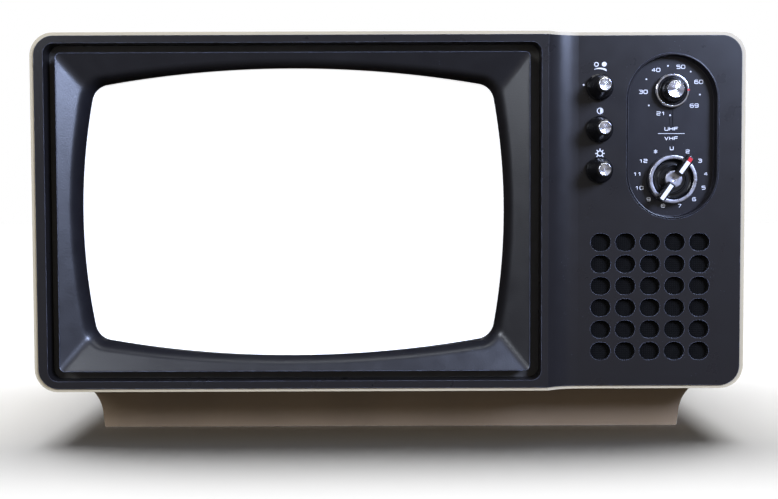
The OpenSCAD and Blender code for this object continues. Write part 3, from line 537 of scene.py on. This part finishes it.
ROLL = 4.8
TUBE_GROW = 7
SKIRT = 24
FUNNEL_Y = FACE_Y + 42
FUNNEL = ((0.97, -6), (0.78, 22), (0.45, 52))  # share of the face's size, and how far behind FUNNEL_Y
NECK = ((30, 12), (17, 34), (10, 46), (10, 118))  # radius, and Y


def bowed(hw, hh, bow_x, bow_z, r):
    """Rectangle with bowed sides and round corners, with the same count of points whatever its size.

    hw and hh are its half sizes at the middle of its sides, and r is the corners' radius.
    """
    side, corner = 28, 14
    rs = (hh * hh + bow_x * bow_x) / (2 * bow_x)
    rt = (hw * hw + bow_z * bow_z) / (2 * bow_z)
    a, b = hw - rs, hh - rt
    d = math.hypot(a, b)
    along = ((rs - r) ** 2 - (rt - r) ** 2 + d * d) / (2 * d)
    off = math.sqrt((rs - r) ** 2 - along * along)
    p = (a - along * a / d - off * b / d, along * b / d - off * a / d)
    a1 = math.atan2(p[1], p[0] - a)
    a2 = math.atan2(p[1] - b, p[0])

    def arc(cx, cy, radius, t0, t1, n):
        turns = [t0 + (t1 - t0) * i / n for i in range(n)]
        return [(cx + radius * math.cos(t), cy + radius * math.sin(t)) for t in turns]

    pi = math.pi
    return (arc(a, 0, rs, -a1, a1, side)
            + arc(p[0], p[1], r, a1, a2, corner)
            + arc(0, b, rt, a2, pi - a2, side)
            + arc(-p[0], p[1], r, pi - a2, pi - a1, corner)
            + arc(-a, 0, rs, pi - a1, pi + a1, side)
            + arc(-p[0], -p[1], r, pi + a1, pi + a2, corner)
            + arc(0, -b, rt, pi + a2, 2 * pi - a2, side)
            + arc(p[0], -p[1], r, 2 * pi - a2, 2 * pi - a1, corner))


def opening(grow):
    """The bowed opening in the mask, grown outwards on every side."""
    half_width, half_height = OPENING_HALF[0] + grow, OPENING_HALF[1] + grow
    return bowed(half_width, half_height, SIDE_BOW, FLAT_BOW, OPENING_R + max(grow, 0))


def facet_drop(p):
    """How far the mask's facets lie behind their outer edge; they meet in slightly eased mitres."""
    ease = 2.2
    a = FACET_SLOPE[0] * (MASK_FACE[0] - abs(p[0] - MASK_SHIFT[0]))
    b = FACET_SLOPE[1] * (MASK_FACE[1] - abs(p[1] - MASK_SHIFT[1]))
    h = max(ease - abs(a - b), 0) / ease
    return min(a, b) - h * h * ease / 4


def face_drop(p):
    """How far the tube's domed face lies behind its middle."""
    return (p[0] ** 2 + p[1] ** 2) / (2 * FACE_R)


def skin(mesh, loops, centre, closed, index=None):
    """Joins loops of (x, y, z) rows, drawn about the centre; closed joins the last loop to the first."""
    rings = [[mesh.verts.new((centre.x + x, y, centre.z + z)) for x, y, z in loop] for loop in loops]
    pairs = list(zip(rings, rings[1:])) + ([(rings[-1], rings[0])] if closed else [])
    for k, (a, b) in enumerate(pairs):
        n = len(a)
        for i in range(n):
            j = (i + 1) % n
            face = mesh.faces.new((a[i], a[j], b[j], b[i]))
            face.material_index = index[k] if index else 0
    return rings


def mask_outline(m, r=3):
    """The mask's nearly straight outline drawn in by m, about the middle of the opening."""
    slight = 0.01
    return [(x + MASK_SHIFT[0], z + MASK_SHIFT[1])
            for x, z in bowed(MASK_FACE[0] - m, MASK_FACE[1] - m, slight, slight, r)]


def level(outline, y):
    """A loop of the outline's points, all at one depth."""
    return [(x, y, z) for x, z in outline]


def on_facets(outline, behind=0):
    """A loop that lies on the mask's facets, or a little behind them."""
    return [(x, MASK_FRONT_Y + behind + facet_drop((x, z)), z) for x, z in outline]


def on_lip(outline):
    """A loop at the back of the lip, which follows the tube's face."""
    return [(x, LIP_Y + LIP_DEPTH + face_drop((x, z)), z) for x, z in outline]


def facet_loops():
    """From the mask's eased outer edge, down its facets, to the top of the roll."""
    steps = 16
    outer, inner = mask_outline(EDGE_INSET), opening(ROLL)
    for i in range(steps + 1):
        t = i / steps
        mixed = [(a[0] * (1 - t) + b[0] * t, a[1] * (1 - t) + b[1] * t) for a, b in zip(outer, inner)]
        yield on_facets(mixed)


def roll_loops():
    """The smooth roll from the facets down to the front of the lip around the glass."""
    steps = 9
    sink, lip_rise = 2.2, 1.2
    for i in range(1, steps + 1):
        t = i / steps
        fall = 1 - math.cos(t * math.pi / 2)
        loop = opening(ROLL * (1 - math.sin(t * math.pi / 2)))
        yield [(x, (1 - fall) * (MASK_FRONT_Y + facet_drop((x, z)) + sink * t * t)
                + fall * (LIP_Y - lip_rise + face_drop((x, z))), z) for x, z in loop]


def screen_mask():
    """The moulded mask: crisp outer edge, four facets with mitres, and a smooth roll down to the glass."""
    loops = [level(mask_outline(0), MASK_BACK_Y)]
    loops += [level(mask_outline(inset), MASK_FRONT_Y + back) for inset, back in EDGE_EASE]
    loops += facet_loops()
    loops += roll_loops()
    behind_roll, inner_corner = 0.5, 2
    loops += [on_lip(opening(0)), on_lip(opening(MASK_WALL))]
    loops.append(on_facets(opening(ROLL + behind_roll), MASK_WALL))
    back = mask_outline(MASK_WALL, inner_corner)
    loops += [on_facets(back, MASK_WALL), level(back, MASK_BACK_Y)]
    mesh = bmesh.new()
    skin(mesh, loops, SCREEN_MID, closed=True)
    piece("mask_bezel", mesh, [FINISHES["mask_plastic"]], "cabinet",
          replaces=["screen_mask"])


def mask_seat():
    """The flange that the mask stands on, seen at the bottom of the groove around it; its pale colour is
    painted light that brightens the groove.
    """
    under = 1
    seat = bmesh.new()
    lo, hi = MASK_LO, MASK_HI
    rect = [(lo.x, lo.z), (hi.x, lo.z), (hi.x, hi.z), (lo.x, hi.z)]
    hole = [(MASK_MID.x + sx * (MASK_FACE[0] - under), MASK_MID.z + sz * (MASK_FACE[1] - under))
            for sx, sz in ((-1, -1), (1, -1), (1, 1), (-1, 1))]
    y0, y1 = SEAT_FRONT_Y, SEAT_BACK_Y
    rows = [[seat.verts.new((x, y, z)) for x, z in ring]
            for ring, y in ((rect, y0), (hole, y0), (hole, y1), (rect, y1))]
    for a, b in ((0, 1), (1, 2), (2, 3), (3, 0)):
        for i in range(4):
            j = (i + 1) % 4
            seat.faces.new((rows[a][i], rows[a][j], rows[b][j], rows[b][i]))
    # Much paler than the black plastics around it: painted light for the groove's floor.
    groove_light = moulded("groove_painted_light", srgb(74, 71, 66), 0.75, size=0.4, depth=0.02, mottle=(0.8, 1.2))
    piece("mask_seat", seat, [groove_light.material], "cabinet")


def lit_face():
    """The tube's face: a painted white glow, from emission, behind glossy glass."""
    finish = Finish("tube_face", srgb(236, 240, 242), 0.12, specular=0.5, coat=0.6, coat_rough=0.05)
    finish.mottle(8, 0.985, 1.01)
    # Painted glow: the face gives off white light of its own.
    finish.shader.inputs["Emission Color"].default_value = (1, 1, 1, 1)
    finish.shader.inputs["Emission Strength"].default_value = 0.85
    return finish.material


def picture_tube():
    """Face, skirt, painted funnel and neck as one bulb, with a glossy face that has a painted white glow."""
    def outline(s):
        return [(x * s, z * s) for x, z in opening(TUBE_GROW)]

    def ring(r):
        return [(r * x / math.hypot(x, z), r * z / math.hypot(x, z)) for x, z in outline(1)]

    face_loops = 10
    loops = [[(x, FACE_Y + face_drop((x, z)), z) for x, z in outline(i / face_loops)]
             for i in range(1, face_loops + 1)]
    loops.append(level(outline(1), FACE_Y + SKIRT))
    loops += [level(outline(share), FUNNEL_Y + behind) for share, behind in FUNNEL]
    loops += [level(ring(r), y) for r, y in NECK]
    mesh = bmesh.new()
    index = [0] * (face_loops - 1) + [1] * (len(loops) - face_loops)
    rings = skin(mesh, loops, SCREEN_MID, closed=False, index=index)
    tip = mesh.verts.new((SCREEN_MID.x, FACE_Y, SCREEN_MID.z))
    count = len(rings[0])
    for i in range(count):
        mesh.faces.new((tip, rings[0][i], rings[0][(i + 1) % count]))
    mesh.faces.new(rings[-1]).material_index = 1
    bulb = piece("tube_bulb", mesh, [lit_face(), FINISHES["tube_glass"]], "cabinet",
                 replaces=["picture_tube"])
    # The glowing bulb is seen but lights nothing else, as it is hidden from diffuse and glossy light.
    bulb.visible_diffuse = False
    bulb.visible_glossy = False


# ---------------------------------------------------------------- tuning knobs

UHF_AT = (UHF_MID.x, UHF_MID.z)
VHF_AT = (VHF_MID.x, VHF_MID.z)
POINTER_ANGLE = 35.5

# Profiles for lathe: radius, height above the dial's face, and 1 for the bright metal parts.
UHF_PROFILE = [(0, 0.2, 0), (9.6, 0, 0), (10.4, 0.6, 1), (10.4, 2.6, 1), (9.9, 3.1, 1), (8.9, 3.1, 1),
               (8.5, 2.4, 0), (7.7, 2.3, 0), (7.3, 3.0, 0), (6.0, 8.6, 0), (5.5, 9.2, 0), (0, 9.2, 0)]
DISH_PROFILE = [(0, 0.2, 0), (13.9, 0, 0), (14.7, 0.8, 1), (14.7, 4.8, 1), (14.3, 5.2, 1), (12.5, 5.2, 1),
                (12.1, 4.7, 0), (11.4, 2.9, 0), (10.6, 2.5, 0), (9.2, 2.5, 0), (8.9, 2.9, 0), (8.2, 2.9, 0),
                (7.9, 2.3, 0), (0, 2.2, 0)]
HUB_PROFILE = [(0, 2.6), (5.3, 2.6), (5.3, 6.2), (4.9, 6.6), (1.4, 6.6), (1.1, 6.3), (0, 6.2)]
BAR_NEAR, BAR_FAR = 3.4, 15.8
BAR_HALF, INLAY_HALF = 2.3, 1.2
RED_TIP = 3.2


def enamel(name, colour):
    return moulded(name, colour, 0.35, size=0.3, depth=0.002, mottle=(0.94, 1.04)).material


def chrome_ring():
    return plated("trim_chrome", srgb(206, 206, 214), 0.16, depth=0.001).material


def bar(half, near, far):
    """Outline of a straight bar that points up."""
    return [(-half, near), (half, near), (half, far), (-half, far)]


def uhf_knob(red):
    """Black knob with a bright ring, a sunk groove and a tapered grip, and a red mark across the ring."""
    mesh = lathe(bmesh.new(), UHF_AT, DIAL_FACE_Y, UHF_PROFILE, soft=0.3)
    piece("uhf_dial_knob", mesh, [FINISHES["knob_plastic"], chrome_ring()], "uhf_control",
          replaces=["uhf_knob"])
    mark = bmesh.new()
    outline = turned_outline(bar(0.5, 8.9, 10.35), UHF_AT, 88)
    prism(mark, outline, DIAL_FACE_Y - 3.18, DIAL_FACE_Y - 2.6)
    piece("uhf_index_mark", mark, [red], "uhf_control")


def metal_cap(key, height, body, tilt):
    """Spun metal cap with a bright eased rim and a shallow dish turned in concentric rings; tilt turns its
    painted highlight and shade sectors.
    """
    node = key + "_cap"
    lo, hi = node_box(node)
    middle = middle_of(node)
    at = (middle.x, middle.z)
    r = (hi.x - lo.x) / 2
    profile = [(0, 0), (r, 0), (r, height - 0.3), (r - 0.35, height), (r - 0.75, height - 0.12),
               (r * 0.5, height - 0.2), (0, height - 0.24)]
    mesh = lathe(bmesh.new(), at, hi.y, profile, soft=0.12)
    name = key + "_metal_cap"
    finish = spun(name + "_metal", Vector((at[0], 0, at[1])), tilt)
    piece(name, mesh, [finish.material], body, replaces=[node])


def selector():
    """Black dish with a silver ring for fine tuning, and the channel selector's silver hub inside it."""
    silver = FINISHES["selector_silver"]
    dish = lathe(bmesh.new(), VHF_AT, DIAL_FACE_Y, DISH_PROFILE, soft=0.2)
    piece("fine_tuning_dish", dish, [FINISHES["knob_plastic"], silver], "fine_tuning",
          replaces=["fine_tuning_ring"])
    hub = lathe(bmesh.new(), VHF_AT, DIAL_FACE_Y, HUB_PROFILE, soft=0.2)
    piece("selector_hub", hub, [silver], "channel_selector",
          replaces=["selector_knob"])


def channel_pointer(legend, red):
    """Two black bars across the selector with white inlays; the square-ended one has a red tip."""
    bars, inlays = bmesh.new(), bmesh.new()
    back_y, front_y = DIAL_FACE_Y - 5.6, DIAL_FACE_Y - 11.45
    inlay_front_y, inlay_back_y = DIAL_FACE_Y - 11.6, DIAL_FACE_Y - 11.3
    for turn, pointing in ((0, True), (180, False)):
        angle = POINTER_ANGLE + turn
        square_end = [(BAR_HALF, BAR_FAR), (-BAR_HALF, BAR_FAR)]
        round_end = disc_outline((0, BAR_FAR - BAR_HALF), BAR_HALF, 8, 0, 180)
        outline = [(-BAR_HALF, BAR_NEAR), (BAR_HALF, BAR_NEAR)] + (square_end if pointing else round_end)
        prism(bars, turned_outline(outline, VHF_AT, angle), front_y, back_y, bevel=0.25)
        white_end = BAR_FAR - RED_TIP if pointing else BAR_FAR - 0.9
        body = bar(INLAY_HALF, BAR_NEAR + 1.0, white_end)
        prism(inlays, turned_outline(body, VHF_AT, angle), inlay_front_y, inlay_back_y)
        if pointing:
            tip = bar(INLAY_HALF, white_end, BAR_FAR - 0.5)
            prism(inlays, turned_outline(tip, VHF_AT, angle), inlay_front_y, inlay_back_y, index=1)
    piece("selector_bars", bars, [FINISHES["knob_plastic"]], "channel_selector")
    piece("selector_inlays", inlays, [legend, red], "channel_selector")


# ---------------------------------------------------------------- printed marks

GLYPHS = {
    "0": [("ring", [(0, 0), (1, 0), (1, 1), (0, 1)])],
    "1": [("line", [(0.15, 0.72), (0.6, 1), (0.6, 0)])],
    "2": [("line", [(0, 0.82), (0, 1), (1, 1), (1, 0.52), (0, 0.52), (0, 0), (1, 0)])],
    "3": [("line", [(0, 1), (1, 1), (1, 0), (0, 0)]), ("line", [(0.3, 0.52), (1, 0.52)])],
    "4": [("line", [(0.78, 0), (0.78, 1), (0, 0.28), (1.05, 0.28)])],
    "5": [("line", [(1, 1), (0, 1), (0, 0.58), (1, 0.58), (1, 0), (0, 0)])],
    "6": [("line", [(0.95, 1), (0, 1), (0, 0), (1, 0), (1, 0.56), (0, 0.56)])],
    "7": [("line", [(0, 1), (1, 1), (0.4, 0)])],
    "8": [("ring", [(0, 0), (1, 0), (1, 1), (0, 1)]), ("line", [(0, 0.52), (1, 0.52)])],
    "9": [("line", [(0.05, 0), (1, 0), (1, 1), (0, 1), (0, 0.44), (1, 0.44)])],
    "U": [("line", [(0, 1), (0, 0), (1, 0), (1, 1)])],
    "V": [("sharp", [(0, 1), (0.5, 0), (1, 1)])],
    "H": [("line", [(0, 0), (0, 1)]), ("line", [(1, 0), (1, 1)]), ("line", [(0, 0.5), (1, 0.5)])],
    "F": [("line", [(0, 0), (0, 1), (1, 1)]), ("line", [(0, 0.5), (0.9, 0.5)])],
}


INK = 0.05  # half the thickness of the paint
TYPE_STROKE = 0.42
UHF_TYPE = (2.1, 2.05, 0.75)  # each character's width and height, and the gap between two
VHF_TYPE = (2.0, 1.9, 0.7)
BAND_TYPE = (2.1, 1.85, 0.8)
UHF_RADII = (17.4, 15.0)
VHF_RADII = (21.0, 17.8)
UHF_NUMBERS = (("21", 202), ("30", 267), ("40", 326), ("50", 18), ("60", 70), ("69", 128))
UHF_DOTS = (183, 233, 297, 352, 41, 100)


def ink_line(mesh, points, width, y, closed=False):
    ribbon(mesh, points, width, y - INK, y + INK, closed)


def ink_area(mesh, outline, y):
    prism(mesh, outline, y - INK, y + INK)


def glyph(mesh, letter, left, base, width, height, y):
    """One wide, square-cornered character drawn with strokes."""
    for kind, points in GLYPHS[letter]:
        placed = [(left + x * width, base + z * height) for x, z in points]
        closed = kind == "ring"
        if kind != "sharp" and (closed or len(placed) > 2):
            placed = rounded_line(placed, 0.27 * height, closed)
        ink_line(mesh, placed, TYPE_STROKE, y, closed)


def word(mesh, text, centre, size, y):
    width, height, gap = size
    advance = width + gap
    left = centre[0] - (len(text) * advance - gap) / 2
    for i, letter in enumerate(text):
        glyph(mesh, letter, left + i * advance, centre[1] - height / 2, width, height, y)


def around(centre, radii, clockwise):
    """The point on an ellipse at an angle clockwise from the top, in degrees."""
    a = math.radians(clockwise)
    return (centre[0] + radii[0] * math.sin(a), centre[1] + radii[1] * math.cos(a))


def uhf_marks(mesh, y):
    """Channel numbers around the upper knob, with a dot between each two."""
    centre = (UHF_AT[0] + 0.35, UHF_AT[1] + 0.35)
    for text, angle in UHF_NUMBERS:
        word(mesh, text, around(centre, UHF_RADII, angle), UHF_TYPE, y)
    for angle in UHF_DOTS:
        ink_area(mesh, disc_outline(around(centre, UHF_RADII, angle), 0.5, 20), y)


def vhf_marks(mesh, y):
    """U and the channels 2 to 12 around the selector, a star in the last place, and a tick."""
    centre = (VHF_AT[0] + 0.45, VHF_AT[1] + 1.2)
    step = 360 / 13
    for i, text in enumerate(["U"] + [str(n) for n in range(2, 13)]):
        word(mesh, text, around(centre, VHF_RADII, i * step), VHF_TYPE, y)
    star = around(centre, VHF_RADII, 12 * step)
    arm = 1.15
    for i in range(3):
        a = math.radians(30 + 60 * i)
        across, up = arm * math.cos(a), arm * math.sin(a)
        ink_line(mesh, [(star[0] - across, star[1] - up), (star[0] + across, star[1] + up)], 0.5, y)
    tick = [around(VHF_AT, (r, r), 41) for r in (16.6, 18.8)]
    ink_line(mesh, tick, 0.35, y)


def dial_marks(paint):
    """Channel numbers around both tuning knobs, and the band names over and under a line."""
    y = DIAL_FLOOR_Y
    mesh = bmesh.new()
    uhf_marks(mesh, y)
    vhf_marks(mesh, y)
    x, z = UHF_AT[0] + 0.2, (UHF_AT[1] + VHF_AT[1]) / 2 + 1.05
    name_off, line_half = 2.9, 8.1
    word(mesh, "UHF", (x, z + name_off), BAND_TYPE, y)
    word(mesh, "VHF", (x, z - name_off), BAND_TYPE, y)
    ink_line(mesh, [(x - line_half, z), (x + line_half, z)], 0.3, y)
    piece("dial_legend", mesh, [paint], "cabinet")


def volume_icon(mesh, x, z, y):
    """A ring and a disc over a widening arc, and the index dot beside them."""
    ink_line(mesh, disc_outline((x - 2.4, z + 1.3), 1.15, 24), 0.55, y, closed=True)
    ink_area(mesh, disc_outline((x + 2.3, z + 1.4), 1.45, 24), y)
    steps = 12
    half_span, curve, crest, below = 3.7, 3.4, 0.42, 1.1
    thin, widening = 0.22, 0.42
    upper, lower = [], []
    for i in range(steps + 1):
        t = i / steps
        rise = -curve * (t - crest) ** 2 - below
        half = thin + widening * t
        upper.append((x - half_span + 2 * half_span * t, z + rise + half))
        lower.append((x - half_span + 2 * half_span * t, z + rise - half))
    ink_area(mesh, lower + upper[::-1], y)
    ink_area(mesh, disc_outline((x - 10.0, z - 11.0), 0.6, 16), y)


def contrast_icon(mesh, x, z, y):
    """A half-filled circle."""
    ink_line(mesh, disc_outline((x, z), 1.75, 32), 0.4, y, closed=True)
    ink_area(mesh, disc_outline((x, z), 1.8, 20, -90, 90), y)


def brightness_icon(mesh, x, z, y):
    """A sun with eight rays."""
    ink_line(mesh, disc_outline((x, z), 1.55, 24), 0.55, y, closed=True)
    for i in range(8):
        ray = [around((x, z), (r, r), 45 * i) for r in (1.75, 2.85)]
        ink_line(mesh, ray, 0.62, y)


def panel_marks(paint):
    """Icons for sound, contrast and brightness over the small knobs."""
    mesh = bmesh.new()
    x = SMALL_KNOBS["volume"].x + 0.6
    volume_icon(mesh, x, SMALL_KNOBS["volume"].z + 12.5, PANEL_Y)
    contrast_icon(mesh, x, SMALL_KNOBS["contrast"].z + 11.2, PANEL_Y)
    brightness_icon(mesh, x, SMALL_KNOBS["brightness"].z + 10.2, PANEL_Y)
    piece("panel_legend", mesh, [paint], "cabinet")


# ---------------------------------------------------------------- kept CAD nodes

EASE_FROM = 28
EASED_WIDTHS = (("front_fascia", 0.7), ("cabinet_shell", 1.7), ("base_plinth", 0.8), ("dial_plate", 0.5),
                ("rear_cover", 0.7), ("aerial_base", 0.6), ("left_post", 0.25), ("right_post", 0.25))


def ease_edges(name, width):
    """Rounds a kept node's sharp edges a little to catch the light, and keeps its large faces evenly lit."""
    node = nodes[name]
    weld = node.modifiers.new("weld", "WELD")
    weld.merge_threshold = 0.01 * MM
    bevel = node.modifiers.new("ease", "BEVEL")
    bevel.width = width * MM
    bevel.segments = 3
    bevel.limit_method = "ANGLE"
    bevel.angle_limit = math.radians(EASE_FROM)
    even = node.modifiers.new("even", "WEIGHTED_NORMAL")
    even.weight = 90
    even.keep_sharp = True


for node in nodes.values():
    for used in node.material_slots:
        used.material = FINISHES[used.material.name.split(".")[0]]

for name, width in EASED_WIDTHS:
    ease_edges(name, width)

screen_mask()
mask_seat()
picture_tube()
white = enamel("legend_paint", LEGEND_WHITE)
red = enamel("pointer_red", srgb(206, 30, 44))
uhf_knob(red)
selector()
channel_pointer(white, red)
for key in SMALL_KNOBS:
    metal_cap(key, 1.2, key + "_control", 0.3)
metal_cap("uhf", 1.1, "uhf_control", 0.9)
dial_marks(white)
panel_marks(white)


# ---------------------------------------------------------------- camera, light and floor

def add_camera():
    """A moderate lens in front of the set, a little above the middle of the screen and tipped down."""
    lens = 46.3
    distance = 600
    height = 145
    pitch_down = math.radians(2.2)
    roll = math.radians(-0.2)
    data = bpy.data.cameras.new("camera")
    data.lens = lens
    data.sensor_width = 36
    data.shift_x = -0.0015
    data.shift_y = -0.0112
    data.clip_start = 0.01
    camera = bpy.data.objects.new("camera", data)
    bpy.context.scene.collection.objects.link(camera)
    look = Matrix.Rotation(math.pi / 2 - pitch_down, 4, "X") @ Matrix.Rotation(roll, 4, "Z")
    camera.matrix_world = Matrix.Translation((0, (FRONT_Y - distance) * MM, height * MM)) @ look
    bpy.context.scene.camera = camera


def add_lamp(name, azimuth, elevation, reach, size, power, colour=(1, 1, 1)):
    """A soft area lamp that faces the set and skips the floor. Azimuth 0 is in front, 90 to the right."""
    screen = Vector((0, -0.1, 0.14))
    turn, lift = math.radians(azimuth), math.radians(elevation)
    away = Vector((math.cos(lift) * math.sin(turn), -math.cos(lift) * math.cos(turn), math.sin(lift)))
    data = bpy.data.lights.new(name, "AREA")
    data.shape = "RECTANGLE"
    data.size, data.size_y = size
    data.energy = power
    data.color = colour
    lamp = bpy.data.objects.new(name, data)
    bpy.context.scene.collection.objects.link(lamp)
    lamp.location = screen + away * reach
    lamp.rotation_euler = (-away).to_track_quat("-Z", "Y").to_euler()
    lamp.light_linking.receiver_collection = lit_pieces


def add_overhead():
    """Wide soft light from above and slightly behind, which whitens the floor and shades it under the set."""
    for name, sideways in (("overhead_left", -20), ("overhead", 0), ("overhead_right", 20)):
        data = bpy.data.lights.new(name, "SUN")
        data.energy = 1.22
        data.angle = math.radians(24)
        lamp = bpy.data.objects.new(name, data)
        bpy.context.scene.collection.objects.link(lamp)
        lamp.rotation_euler = (math.radians(-14), math.radians(sideways), 0)


def add_world():
    """White studio surroundings, bright to look at and gentle as a light."""
    world = bpy.data.worlds.new("studio")
    world.use_nodes = True
    tree = world.node_tree
    seen = tree.nodes["Background"]
    seen.inputs["Color"].default_value = (1, 1, 1, 1)
    seen.inputs["Strength"].default_value = 1.0
    lit = tree.nodes.new("ShaderNodeBackground")
    lit.inputs["Color"].default_value = (1, 0.97, 0.96, 1)
    lit.inputs["Strength"].default_value = 0.1
    mix = tree.nodes.new("ShaderNodeMixShader")
    path = tree.nodes.new("ShaderNodeLightPath")
    tree.links.new(path.outputs["Is Camera Ray"], mix.inputs[0])
    tree.links.new(lit.outputs[0], mix.inputs[1])
    tree.links.new(seen.outputs[0], mix.inputs[2])
    tree.links.new(mix.outputs[0], tree.nodes["World Output"].inputs["Surface"])
    bpy.context.scene.world = world


def add_floor():
    """A pale sheet of studio paper."""
    reach = 6
    mesh = bpy.data.meshes.new("floor")
    mesh.from_pydata([(-reach, -reach, 0), (reach, -reach, 0), (reach, reach, 0), (-reach, reach, 0)],
                     [], [(0, 1, 2, 3)])
    floor = bpy.data.objects.new("floor", mesh)
    bpy.context.scene.collection.objects.link(floor)
    paper = Finish("floor_paper", (0.9, 0.9, 0.9, 1), 0.95, specular=0.1)
    paper.bump(paper.noise(900, 3), 0.05)
    mesh.materials.append(paper.material)
    floor.visible_diffuse = False
    floor.visible_glossy = False


lit_pieces = bpy.data.collections.new("lit_pieces")
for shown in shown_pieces():
    lit_pieces.objects.link(shown)
add_camera()
add_world()
add_floor()
add_overhead()
add_lamp("key", azimuth=41, elevation=25, reach=1.5, size=(0.5, 0.5), power=40, colour=(0.55, 0.66, 1))
add_lamp("left_fill", azimuth=-44, elevation=24, reach=1.6, size=(0.6, 0.6), power=12.5,
         colour=(0.84, 0.9, 1))
add_lamp("top_fill", azimuth=20, elevation=80, reach=1.4, size=(1.0, 0.4), power=3, colour=(0.9, 0.95, 1))
add_lamp("front_fill", azimuth=0, elevation=8, reach=2, size=(3, 2), power=5, colour=(1, 0.96, 0.92))
add_lamp("back_fill", azimuth=205, elevation=28, reach=1.5, size=(1.2, 0.8), power=14)
bpy.context.scene.view_settings.view_transform = "Standard"
